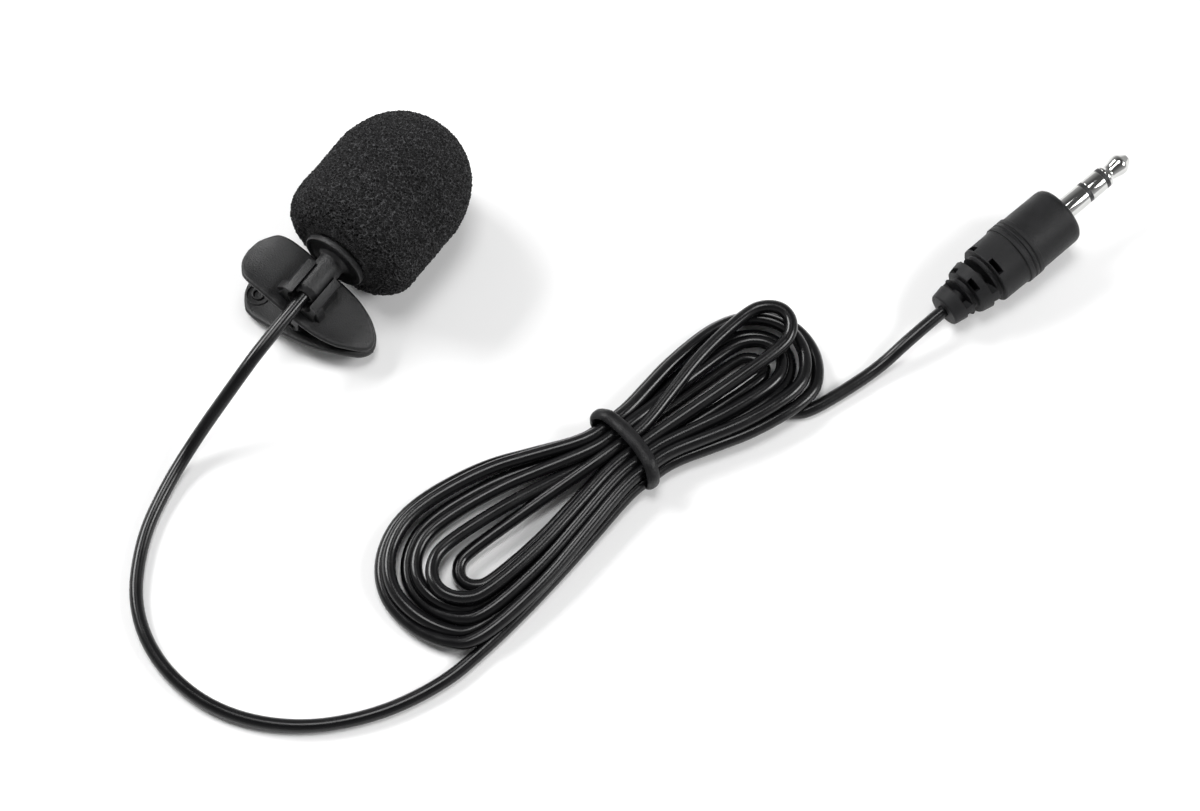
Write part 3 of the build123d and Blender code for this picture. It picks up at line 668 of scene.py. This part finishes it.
class MICROPHONE_OT_tie(bpy.types.Operator):
    """Wraps the rubber tie round the middle of the hank."""

    bl_idname = "microphone.tie"
    bl_label = "Tie"

    def execute(self, context):
        settings = context.scene.microphone_cord
        along, across = hank_axes(settings.heading)
        rings = []
        for i in range(TIE_STEPS):
            angle = 2 * math.pi * i / TIE_STEPS
            c, s = math.cos(angle), math.sin(angle)
            out = across * math.copysign(abs(c) ** TIE_SQUARENESS, c) * TIE_WIDE
            out += UPWARD * math.copysign(abs(s) ** TIE_SQUARENESS, s) * TIE_HIGH
            # On top the tie bows towards the hank's open end, and it waves a little over the strands
            centre = TIE_CENTRE + out + along * (TIE_BOW * (max(s, 0) ** 2 - 0.5))
            outward = (across * c * TIE_HIGH + UPWARD * s * TIE_WIDE).normalized()
            centre += outward * (TIE_WAVE * math.sin(angle * TIE_WAVES) * max(s, 0))
            rings.append(
                [
                    centre + along * math.cos(b) * TIE_BAND + outward * math.sin(b) * TIE_THICK
                    for b in (2 * math.pi * j / TIE_ROUND for j in range(TIE_ROUND))
                ]
            )
        made = loft("cord_tie_band", rings, loop=True)
        finish = rubber_finish("tie_rubber", settings.tie_colour, 0.3 * MM, 0.4)
        place(made, "root", "tie_rubber", finish, "cord_tie")
        return {"FINISHED"}


# ------------------------------------------------------------------------------------ foam


# In millimetres: the bore's radius and its bottom from the flange, the rear face's radius, and the
# lengths of the rear round and of the dome
FOAM_BORE, FOAM_BORE_END, FOAM_REAR = 4.4, 13.0, 6.3
FOAM_REAR_ROUND, FOAM_DOME = 4.6, 12.2
REAR_FULLNESS, DOME_FULLNESS = 0.8, 0.93
LUMP_SIZE, LUMP_HEIGHT, FUZZ_HEIGHT = 5 * MM, 0.16 * MM, 0.2 * MM
PIT_EDGE = 0.45
BORE_STEPS, FACE_STEPS = 12, 8
# Shares of the outline's steps
REAR_SHARE, FLAT_SHARE, DOME_SHARE = 0.2, 0.3, 0.5


class MICROPHONE_OT_foam(bpy.types.Operator):
    """Grows the open-cell foam over the head."""

    bl_idname = "microphone.foam"
    bl_label = "Foam windscreen"

    def execute(self, context):
        settings = context.scene.microphone_foam
        low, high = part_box("foam_windscreen")
        full = (high.z - low.z) / 2 / MM
        start, end = (low.y - FLANGE.y) / MM, (high.y - FLANGE.y) / MM
        steps = int(settings.around * 0.7)
        bore_run, face_run = start - FOAM_BORE_END, FOAM_REAR - FOAM_BORE
        outline = [(FOAM_BORE_END, 0.0), (FOAM_BORE_END, FOAM_BORE * 0.5), (FOAM_BORE_END, FOAM_BORE)]
        outline += [
            (FOAM_BORE_END + bore_run * k / BORE_STEPS, FOAM_BORE) for k in range(1, BORE_STEPS + 1)
        ]
        outline += [(start, FOAM_BORE + face_run * k / FACE_STEPS) for k in range(1, FACE_STEPS)]
        bore_rings = len(outline)
        rear_steps, dome_steps = int(steps * REAR_SHARE), int(steps * DOME_SHARE)
        for k in range(rear_steps + 1):
            turn = math.pi / 2 * k / rear_steps
            station = start + FOAM_REAR_ROUND * (1 - math.cos(turn))
            radius = FOAM_REAR + (full - FOAM_REAR) * math.sin(turn) ** REAR_FULLNESS
            outline.append((station, radius))
        flat_end = end - FOAM_DOME
        flat_start = start + FOAM_REAR_ROUND
        flat_steps = int(steps * FLAT_SHARE)
        outline += [
            (flat_start + (flat_end - flat_start) * k / flat_steps, full) for k in range(1, flat_steps)
        ]
        for k in range(dome_steps + 1):
            turn = math.pi / 2 * k / dome_steps
            radius = full * math.cos(turn) ** DOME_FULLNESS
            outline.append((flat_end + FOAM_DOME * math.sin(turn), radius))
        made = lathe("foam_ball", outline, FLANGE, AHEAD, settings.around)
        skin = made.data.vertices[bore_rings * settings.around :]
        normals = [vertex.normal.copy() for vertex in skin]
        for vertex, normal in zip(skin, normals):
            near, second = noise.voronoi(vertex.co / settings.cell)[0][:2]
            pit = min(1.0, (second - near) / PIT_EDGE)
            lump = noise.noise(vertex.co / LUMP_SIZE) * LUMP_HEIGHT
            fuzz = noise.noise(vertex.co / (settings.cell * 0.8)) * FUZZ_HEIGHT
            vertex.co += normal * (lump + fuzz - pit * pit * settings.depth)
        made.data.update()
        place(made, "windscreen", "foam", foam_finish(settings), "foam_windscreen")
        return {"FINISHED"}


# ---------------------------------------------------------------------------- head and clip

# Side lines and plan outlines of the jaws in millimetres from the microphone's axis
UPPER_TOP = (
    (-12.1, -0.7), (-9.0, -0.2), (-6.0, -0.6), (-3.0, -1.9), (0.0, -3.3),
    (3.0, -4.4), (6.0, -5.1), (8.5, -5.7), (10.8, -6.9),
)
UPPER_HALF = (
    (-12.1, 0.0), (-11.8, 1.6), (-11.2, 2.75), (-9.4, 4.4), (-5.0, 4.85), (0.0, 4.8),
    (4.0, 4.5), (7.0, 3.7), (9.4, 2.2), (10.5, 1.0), (10.8, 0.0),
)
LOWER_TOP = (
    (-12.6, -9.8), (-9.0, -9.95), (-5.0, -9.2), (-2.0, -8.4), (1.0, -7.8),
    (4.0, -7.35), (6.4, -7.0), (8.5, -7.2), (10.8, -8.3),
)
LOWER_HALF = (
    (-12.6, 0.0), (-12.3, 1.7), (-11.7, 3.1), (-9.6, 5.2), (-5.0, 5.7), (0.0, 5.65),
    (4.0, 5.1), (7.2, 4.0), (9.6, 2.4), (10.5, 1.1), (10.8, 0.0),
)
UPPER_THICK, LOWER_THICK = 1.05, 1.15
BLADE_STATIONS, BLADE_ACROSS, EDGE_STEPS = 72, 22, 6
# How much a blade thins at its ends, its edge's share of its width, and how its sides curl up
END_THINNING, EDGE_SHARE, CURL_WIDTH, CURL_POWER = 0.92, 0.6, 5.0, 2.4
# The ears on the hinge pin, from the clip's middle to their inner faces
UPPER_EAR, LOWER_EAR = 3.7, 2.55
EAR_THICK, EAR_RADIUS, EAR_SPREAD, EAR_WAIST = 0.9, 1.35, 1.2, 0.35
TOOTH_COUNT, TOOTH_FIRST, TOOTH_PITCH, TOOTH_WIDTH = 3, 6.3, 0.9, 3.4
TOOTH_OUTLINE = ((-0.42, 0.25), (0.42, 0.25), (0.38, 0.0), (0.06, -0.24), (-0.06, -0.24), (-0.38, 0.0))
# The snap cradle for the stem, and the wedges at its foot
CHANNEL, WALL, CRADLE_LENGTH = 2.15, 0.85, 6.0
CRADLE_TILT = math.radians(20)
WEDGE_AT, WEDGE_THICK = -1.7, 1.6
# The round mark: its place along and across the jaw, its lift and its corners' rounding
MARK_X, MARK_Y, MARK_LIFT, MARK_ROUND = -9.9, -1.9, 0.08, 0.06
# The head's section: stations in front of the flange, and radii
HEAD_OUTLINE = (
    (2.2, 1.0), (-7.0, 1.0), (-7.0, 1.45), (-6.2, 2.1), (-0.25, 2.1), (0.3, 2.7), (0.3, 4.3),
    (-0.02, 4.6), (-0.02, 5.1), (1.0, 5.1), (1.0, 4.3), (12.6, 4.3), (12.6, 3.85),
    (12.25, 3.85), (12.25, 3.5), (2.2, 3.5), (2.2, 1.0),
)


def jaw_blade(name, top, halves, thick, curl):
    """A jaw's blade: a leaf-shaped shell with rounded edges that curl up a little."""
    first, last = top[0][0], top[-1][0]
    widths = [-1 + 2 * j / BLADE_ACROSS for j in range(BLADE_ACROSS + 1)]
    turns = [math.cos(math.pi * k / EDGE_STEPS) for k in range(1, EDGE_STEPS)]
    # Once round the blade: over its top, down one edge, back underneath and up the other edge
    ring = [(side, 1) for side in widths] + [(1, face) for face in turns]
    ring += [(-side, -1) for side in widths] + [(-1, -face) for face in turns]
    rings = []
    for i in range(BLADE_STATIONS + 1):
        share = (1 - math.cos(math.pi * i / BLADE_STATIONS)) / 2
        x = first + (last - first) * share
        half = smooth_line(halves, x)
        near_end = min(x - first, last - x)
        fullness = max(0.0, min(1.0, near_end / thick * 2))
        body = thick * math.sqrt(fullness * END_THINNING + 1 - END_THINNING)
        edge = min(body / 2, half * EDGE_SHARE)
        z = smooth_line(top, x) - thick / 2
        line = []
        for side, face in ring:
            y = side * (half - edge)
            if abs(face) < 1:
                y += math.copysign(edge * math.sqrt(1 - face * face), side)
            lift = curl * (abs(y) / CURL_WIDTH) ** CURL_POWER
            line.append(SWIVEL + Vector((x, y, z + lift + face * body / 2)) * MM)
        rings.append(line)
    return loft(name, rings)


def ear_pair(name, inner, blade_z):
    """Two ears on the hinge pin, reaching to the blade at a given height above the pin."""
    turn = math.copysign(1, blade_z)
    outline = [(EAR_RADIUS * EAR_SPREAD, blade_z), (EAR_RADIUS, EAR_WAIST * blade_z)]
    outline += [
        (EAR_RADIUS * math.cos(a), -turn * EAR_RADIUS * math.sin(a))
        for a in (math.pi * k / 10 for k in range(1, 10))
    ]
    outline += [(-EAR_RADIUS, EAR_WAIST * blade_z), (-EAR_RADIUS * EAR_SPREAD, blade_z)]
    made = []
    for side in (-1, 1):
        centre = HINGE + AHEAD * side * (inner + EAR_THICK / 2) * MM
        made.append(prism(f"{name}_{side}", outline, centre, FORWARD, UPWARD, EAR_THICK, 0.15))
    return made


def tooth_ridge(index, under):
    """One ridge across the bite, under the upper jaw."""
    x = TOOTH_FIRST + TOOTH_PITCH * index
    centre = SWIVEL + Vector((x, 0, smooth_line(under, x))) * MM
    return prism(f"tooth_{index}", TOOTH_OUTLINE, centre, FORWARD, UPWARD, TOOTH_WIDTH, 0.05)


class MICROPHONE_OT_head(bpy.types.Operator):
    """Turns the head's stem, flange and barrel."""

    bl_idname = "microphone.head"
    bl_label = "Head"

    def execute(self, context):
        settings = context.scene.microphone_clip
        made = lathe("head_shell", soften(HEAD_OUTLINE, 0.22), FLANGE, AHEAD)
        finish = plastic_finish("head_plastic", settings.colour, settings.grain, 0.4)
        place(made, "root", "head_plastic", finish, "head_housing")
        return {"FINISHED"}


class MICROPHONE_OT_clip(bpy.types.Operator):
    """Moulds the clip's two jaws, with the snap cradle for the stem."""

    bl_idname = "microphone.clip"
    bl_label = "Clip"

    def upper_jaw(self, settings):
        """The blade, cradle, ears and teeth of the upper jaw."""
        parts = [jaw_blade("blade", UPPER_TOP, UPPER_HALF, UPPER_THICK, settings.curl / MM)]
        x_dir = Vector((math.cos(CRADLE_TILT), 0, -math.sin(CRADLE_TILT)))
        y_dir = Vector((math.sin(CRADLE_TILT), 0, math.cos(CRADLE_TILT)))
        outer = CHANNEL + WALL
        bore = [
            (CHANNEL * math.cos(a), CHANNEL * math.sin(a))
            for a in (math.radians(d) for d in range(38, -219, -16))
        ]
        outline = [
            (-1.75, 1.75), (-outer - 0.1, 1.0), (-outer, -0.4), (-outer - 0.15, -2.0),
            (-outer - 0.9, -3.7), (outer + 0.9, -3.7), (outer + 0.15, -2.0), (outer, -0.4),
            (outer + 0.1, 1.0), (1.75, 1.75),
        ]
        rounded = [tuple(p) for p in soften(outline, 0.3, 3)]
        parts.append(prism("cradle", rounded + bore, SWIVEL, x_dir, y_dir, CRADLE_LENGTH, 0.22))
        wedge = [(outer - 0.1, -3.5), (outer - 0.1, -0.6), (outer + 0.35, -0.9), (outer + 1.5, -3.6)]
        foot = SWIVEL + AHEAD * WEDGE_AT * MM
        for side in (-1, 1):
            mirrored = [(side * x, y) for x, y in wedge]
            parts.append(prism(f"wedge_{side}", mirrored, foot, x_dir, y_dir, WEDGE_THICK, 0.15))
        pin_to_blade = smooth_line(UPPER_TOP, (HINGE.x - SWIVEL.x) / MM) - UPPER_THICK / 2
        rise = pin_to_blade - (HINGE.z - SWIVEL.z) / MM
        parts += ear_pair("upper_ear", UPPER_EAR, rise)
        under = [(x, z - UPPER_THICK) for x, z in UPPER_TOP]
        parts += [tooth_ridge(i, under) for i in range(TOOTH_COUNT)]
        return merge("upper_jaw_shell", parts)

    def lower_jaw(self, settings):
        """The blade, ears and round mark of the lower jaw."""
        parts = [jaw_blade("blade", LOWER_TOP, LOWER_HALF, LOWER_THICK, settings.curl / MM * 0.5)]
        pin_to_blade = smooth_line(LOWER_TOP, (HINGE.x - SWIVEL.x) / MM) - LOWER_THICK / 2
        drop = pin_to_blade - (HINGE.z - SWIVEL.z) / MM
        parts += ear_pair("lower_ear", LOWER_EAR, drop)
        radius = settings.mark / MM
        slope = smooth_line(LOWER_TOP, MARK_X + 0.5) - smooth_line(LOWER_TOP, MARK_X - 0.5)
        up = Vector((-slope, 0, 1)).normalized()
        spot = SWIVEL + Vector((MARK_X, MARK_Y, smooth_line(LOWER_TOP, MARK_X) + MARK_LIFT)) * MM
        ring = [(-0.3, radius), (0.28, radius - 0.08), (0.28, radius - 0.34), (0.0, radius - 0.42)]
        ring += [(0.0, radius - 0.95), (0.26, radius - 1.03), (0.26, radius - 1.3)]
        ring += [(0.0, radius - 1.36), (0.0, 0.0)]
        parts.append(lathe("mark", soften([(-0.3, 0.0), *ring], MARK_ROUND, 3), spot, up, 64))
        return merge("lower_jaw_shell", parts)

    def execute(self, context):
        settings = context.scene.microphone_clip
        finish = plastic_finish("clip_plastic", settings.colour, settings.grain)
        upper = self.upper_jaw(settings)
        lower = self.lower_jaw(settings)
        place(upper, "upper_jaw", "clip_plastic", finish, "upper_jaw")
        place(lower, "lower_jaw", "clip_plastic", finish, "lower_jaw")
        return {"FINISHED"}


# ------------------------------------------------------------------------------------ plug

# In millimetres: stations along the plug's axis, from the grip's front face, and radii
GRIP_OUTLINE = (
    (0.0, 1.78), (0.0, 4.8), (-8.1, 4.85), (-8.1, 5.05), (-8.85, 5.05), (-8.95, 4.88), (-9.15, 4.88),
    (-9.25, 5.05), (-9.6, 5.05), (-9.7, 4.88), (-9.9, 4.88), (-10.0, 5.05), (-10.8, 5.05), (-10.8, 4.8),
    (-15.7, 4.75), (-15.7, 3.75), (-16.6, 3.75), (-16.6, 4.5), (-19.8, 3.85), (-19.8, 2.6), (-20.7, 2.6),
    (-20.7, 3.35), (-24.3, 2.7), (-24.3, 1.0),
)
GRIP_CORNERS = (
    1.3, 0.15, 0.12, 0.12, 0.06, 0.06, 0.12, 0.12, 0.06, 0.06, 0.12, 0.15, 0.7, 0.25, 0.2,
    0.35, 0.35, 0.25, 0.2, 0.35, 0.4, 0.3,
)
# The contacts, in front of the grip: a sleeve, a ring and a tip with black gaps between them
SLEEVE_REAR, SLEEVE_END, RING_START, RING_END, TIP_START = -0.8, 4.7, 5.4, 8.25, 8.95
CONTACT_ROUND, GAP_SINK = 0.09, 0.03
TIP_OUTLINE = (
    (TIP_START, 0.0), (TIP_START, 1.74), (9.3, 1.74), (9.9, 1.25), (10.4, 1.3), (11.9, 1.66),
    (12.5, 1.66), (13.75, 0.85), (14.0, 0.55), (14.0, 0.0),
)
TIP_CORNERS = (0.06, 0.08, 0.2, 0.25, 0.25, 0.25, 0.12, 0.12)
# The strain relief's slots, from the grip's front face back, and half their widths by turns
SLOT_COUNT, SLOT_FIRST, SLOT_PITCH, SLOT_HALF, SLOT_WALL = 4, 15.0, 2.17, (0.42, 0.6), 0.03
CORE_RADIUS = 1.45
SMALL_WINDOWS = tuple(math.radians(a) for a in (36, 144, 216, 324))
WINDOW_HALF = math.radians(14)
BRIDGE_HALF = math.radians(15)


def in_slot(station, angle):
    """Whether a point lies in a slot of the strain relief. Small windows and long slots alternate."""
    number = round((-station - SLOT_FIRST) / SLOT_PITCH)
    from_middle = abs(-station - SLOT_FIRST - number * SLOT_PITCH)
    if not 0 <= number < SLOT_COUNT or from_middle > SLOT_HALF[number % 2]:
        return False
    if number % 2 == 0:
        turns = [abs((angle - a + math.pi) % (2 * math.pi) - math.pi) for a in SMALL_WINDOWS]
        return min(turns) < WINDOW_HALF
    from_side = abs((angle + math.pi / 2) % math.pi - math.pi / 2)
    return abs(math.pi / 2 - from_side) > BRIDGE_HALF


class MICROPHONE_OT_plug(bpy.types.Operator):
    """Turns the plug's contacts and moulds its grip and strain relief."""

    bl_idname = "microphone.plug"
    bl_label = "Plug"

    def grip(self, settings):
        """The grip: turned, with slots sunk into its strain relief."""
        outline = [tuple(p) for p in soften(GRIP_OUTLINE, GRIP_CORNERS, 5)]
        edges = [
            -SLOT_FIRST - number * SLOT_PITCH + side * (SLOT_HALF[number % 2] + nudge)
            for number in range(SLOT_COUNT)
            for side in (-1, 1)
            for nudge in (-SLOT_WALL, SLOT_WALL)
        ]
        dense = []
        for (s0, r0), (s1, r1) in zip(outline, outline[1:]):
            cuts = sorted((e for e in edges if min(s0, s1) < e < max(s0, s1)), reverse=s1 < s0)
            dense.append((s0, r0))
            dense += [(e, r0 + (r1 - r0) * (e - s0) / (s1 - s0)) for e in cuts]
        dense.append(outline[-1])
        first, second = axis_frame(PLUG_DIR)
        rings = []
        for station, radius in dense:
            ring = []
            for j in range(settings.around):
                angle = 2 * math.pi * j / settings.around
                reach = radius
                if in_slot(station, angle):
                    reach = min(radius, CORE_RADIUS)
                turned = angle - settings.roll
                out = first * math.cos(turned) + second * math.sin(turned)
                ring.append(PLUG_FACE + (PLUG_DIR * station + out * reach) * MM)
            rings.append(ring)
        made = loft("plug_grip", rings)
        sharpen(made, 50)
        return made

    def execute(self, context):
        settings = context.scene.microphone_plug
        metal = metal_finish("plug_metal", settings.metal_colour, 0.07)
        black = plastic_finish("insulator", (0.01, 0.01, 0.011), 0.2 * MM, 0.3)
        rubber = rubber_finish("grip_rubber", settings.grip_colour, 0.2 * MM, 0.46)
        radius = PLUG_RADIUS / MM
        place(self.grip(settings), "root", "grip_rubber", rubber, "plug_overmould")
        bands = (
            ("plug_barrel", SLEEVE_REAR, SLEEVE_END, metal, "plug_metal", "plug_sleeve"),
            ("plug_ring_band", RING_START, RING_END, metal, "plug_metal", "plug_ring"),
        )
        for name, start, end, finish, slot, node in bands:
            outline = [(start, 0.0), (start, radius), (end, radius), (end, 0.0)]
            made = lathe(name, soften(outline, CONTACT_ROUND, 4), PLUG_FACE, PLUG_DIR)
            sharpen(made)
            place(made, "root", slot, finish, node)
        gaps = (
            ("ring_gap", SLEEVE_END, RING_START, "ring_insulator"),
            ("tip_gap", RING_END, TIP_START, "tip_insulator"),
        )
        for name, start, end, node in gaps:
            outline = [(start, 0.0), (start, radius - GAP_SINK), (end, radius - GAP_SINK), (end, 0.0)]
            made = lathe(name, outline, PLUG_FACE, PLUG_DIR)
            sharpen(made)
            place(made, "root", "insulator", black, node)
        made = lathe("plug_point", soften(TIP_OUTLINE, TIP_CORNERS, 6), PLUG_FACE, PLUG_DIR)
        sharpen(made)
        place(made, "root", "plug_metal", metal, "plug_tip")
        return {"FINISHED"}


# ----------------------------------------------------------------------- what stays from CAD


class MICROPHONE_OT_inner(bpy.types.Operator):
    """Gives the CAD pieces that stay, inside the head, the plug and the clip, their materials."""

    bl_idname = "microphone.inner"
    bl_label = "Inner pieces"

    def execute(self, context):
        for name, node in frame["nodes"].items():
            if not node.hide_render:
                node.data.materials.clear()
                node.data.materials.append(slot_finish(SLOTS[name]))
        return {"FINISHED"}


# ------------------------------------------------------------------------- stage and camera


TABLE_REACH = 3.0
# How high the sky goes on dimming, and its strengths at the horizon and above that height
SKY_TOP, SKY_LOW, SKY_HIGH = 0.85, 0.62, 0.1


class MICROPHONE_OT_stage(bpy.types.Operator):
    """Sets the pale table, the soft light and the camera."""

    bl_idname = "microphone.stage"
    bl_label = "Stage"

    def lamp(self, context, name, place_at, aim, size, power):
        """A soft rectangular light."""
        data = bpy.data.lights.new(name, "AREA")
        data.shape = "RECTANGLE"
        data.size, data.size_y = size
        data.energy = power
        made = bpy.data.objects.new(name, data)
        made.location = place_at
        made.rotation_euler = (aim - place_at).to_track_quat("-Z", "Y").to_euler()
        context.scene.collection.objects.link(made)

    def execute(self, context):
        settings = context.scene.microphone_stage
        aim = Vector(settings.aim)
        corners = [(x * TABLE_REACH, y * TABLE_REACH, 0) for x, y in ((-1, -1), (1, -1), (1, 1), (-1, 1))]
        table = add_mesh("table", corners, [(0, 1, 2, 3)])
        table.data.materials.append(table_finish(settings.table))
        table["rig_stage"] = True
        side, up = math.cos(settings.elevation), math.sin(settings.elevation)
        back = Vector((math.sin(settings.azimuth) * side, -math.cos(settings.azimuth) * side, up))
        right = Vector((math.cos(settings.azimuth), math.sin(settings.azimuth), 0))
        away = Vector((-right.y, right.x, 0))
        data = bpy.data.cameras.new("camera")
        data.lens = settings.lens
        data.sensor_width = 36.0
        camera = bpy.data.objects.new("camera", data)
        camera.location = aim + back * settings.distance
        camera.rotation_euler = (-back).to_track_quat("-Z", "Y").to_euler()
        context.scene.collection.objects.link(camera)
        context.scene.camera = camera
        lamps = (
            ("left_box", -right * 0.5 + away * 0.35 + UPWARD * 0.5, (0.42, 0.25), 4.9),
            ("right_box", right * 0.6 - away * 0.05 + UPWARD * 0.45, (0.36, 0.23), 3.6),
            ("top_box", away * 0.1 + UPWARD * 0.9, (0.34, 0.34), 3.0),
        )
        for name, offset, size, power in lamps:
            self.lamp(context, name, aim + offset, aim, size, power)
        # The sky is bright at the horizon and dim overhead
        world = bpy.data.worlds.new("studio")
        world.use_nodes = True
        sky = Graph(world.node_tree)
        background = sky.tree.nodes["Background"]
        direction = sky.node("ShaderNodeTexCoord", {}, output="Generated")
        rise = sky.node("ShaderNodeSeparateXYZ", {}, direction, output="Z")
        sky.plug(background.inputs["Color"], (1.0, 1.0, 1.0))
        sky.plug(background.inputs["Strength"], sky.spread(rise, 0.0, SKY_TOP, SKY_LOW, SKY_HIGH))
        context.scene.world = world
        context.scene.view_settings.view_transform = "Standard"
        return {"FINISHED"}


class MICROPHONE_PT_panel(bpy.types.Panel):
    """Lists the settings and the steps in the order that they run."""

    bl_idname = "MICROPHONE_PT_panel"
    bl_label = "Lavalier Microphone"
    bl_space_type = "VIEW_3D"
    bl_region_type = "UI"
    bl_category = "Microphone"

    def draw(self, context):
        for name, group in SETTINGS.items():
            box = self.layout.box()
            for prop in group.__annotations__:
                box.prop(getattr(context.scene, name), prop)
        for step in STEPS:
            self.layout.operator(step.bl_idname)


SETTINGS = {
    "microphone_foam": FoamSettings,
    "microphone_cord": CordSettings,
    "microphone_clip": ClipSettings,
    "microphone_plug": PlugSettings,
    "microphone_stage": StageSettings,
}
STEPS = (
    MICROPHONE_OT_stage,
    MICROPHONE_OT_cord,
    MICROPHONE_OT_tie,
    MICROPHONE_OT_foam,
    MICROPHONE_OT_head,
    MICROPHONE_OT_clip,
    MICROPHONE_OT_plug,
    MICROPHONE_OT_inner,
)


def register():
    """Registers the settings, the steps and the panel."""
    for name, group in SETTINGS.items():
        bpy.utils.register_class(group)
        setattr(bpy.types.Scene, name, PointerProperty(type=group))
    for step in STEPS:
        bpy.utils.register_class(step)
    bpy.utils.register_class(MICROPHONE_PT_panel)


def unregister():
    """Undoes register."""
    bpy.utils.unregister_class(MICROPHONE_PT_panel)
    for step in reversed(STEPS):
        bpy.utils.unregister_class(step)
    for name, group in reversed(SETTINGS.items()):
        delattr(bpy.types.Scene, name)
        bpy.utils.unregister_class(group)


def declare_cord():
    """Finds the shown pieces that are, or stand for, nodes on the free cord other than its lead, hank and tail."""
    on_it = set(frame["record"]["physics"]["cord_nodes"]) - {"cord_lead", "cord_hank", "cord_tail"}
    carried = [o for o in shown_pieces() if o.name in on_it or set(o.get("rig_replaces", ())) & on_it]


def main():
    """Builds everything in order."""
    register()
    bpy.ops.microphone.stage()
    bpy.ops.microphone.cord()
    bpy.ops.microphone.tie()
    bpy.ops.microphone.foam()
    bpy.ops.microphone.head()
    bpy.ops.microphone.clip()
    bpy.ops.microphone.plug()
    bpy.ops.microphone.inner()
    declare_cord()


if __name__ == "__main__":
    main()
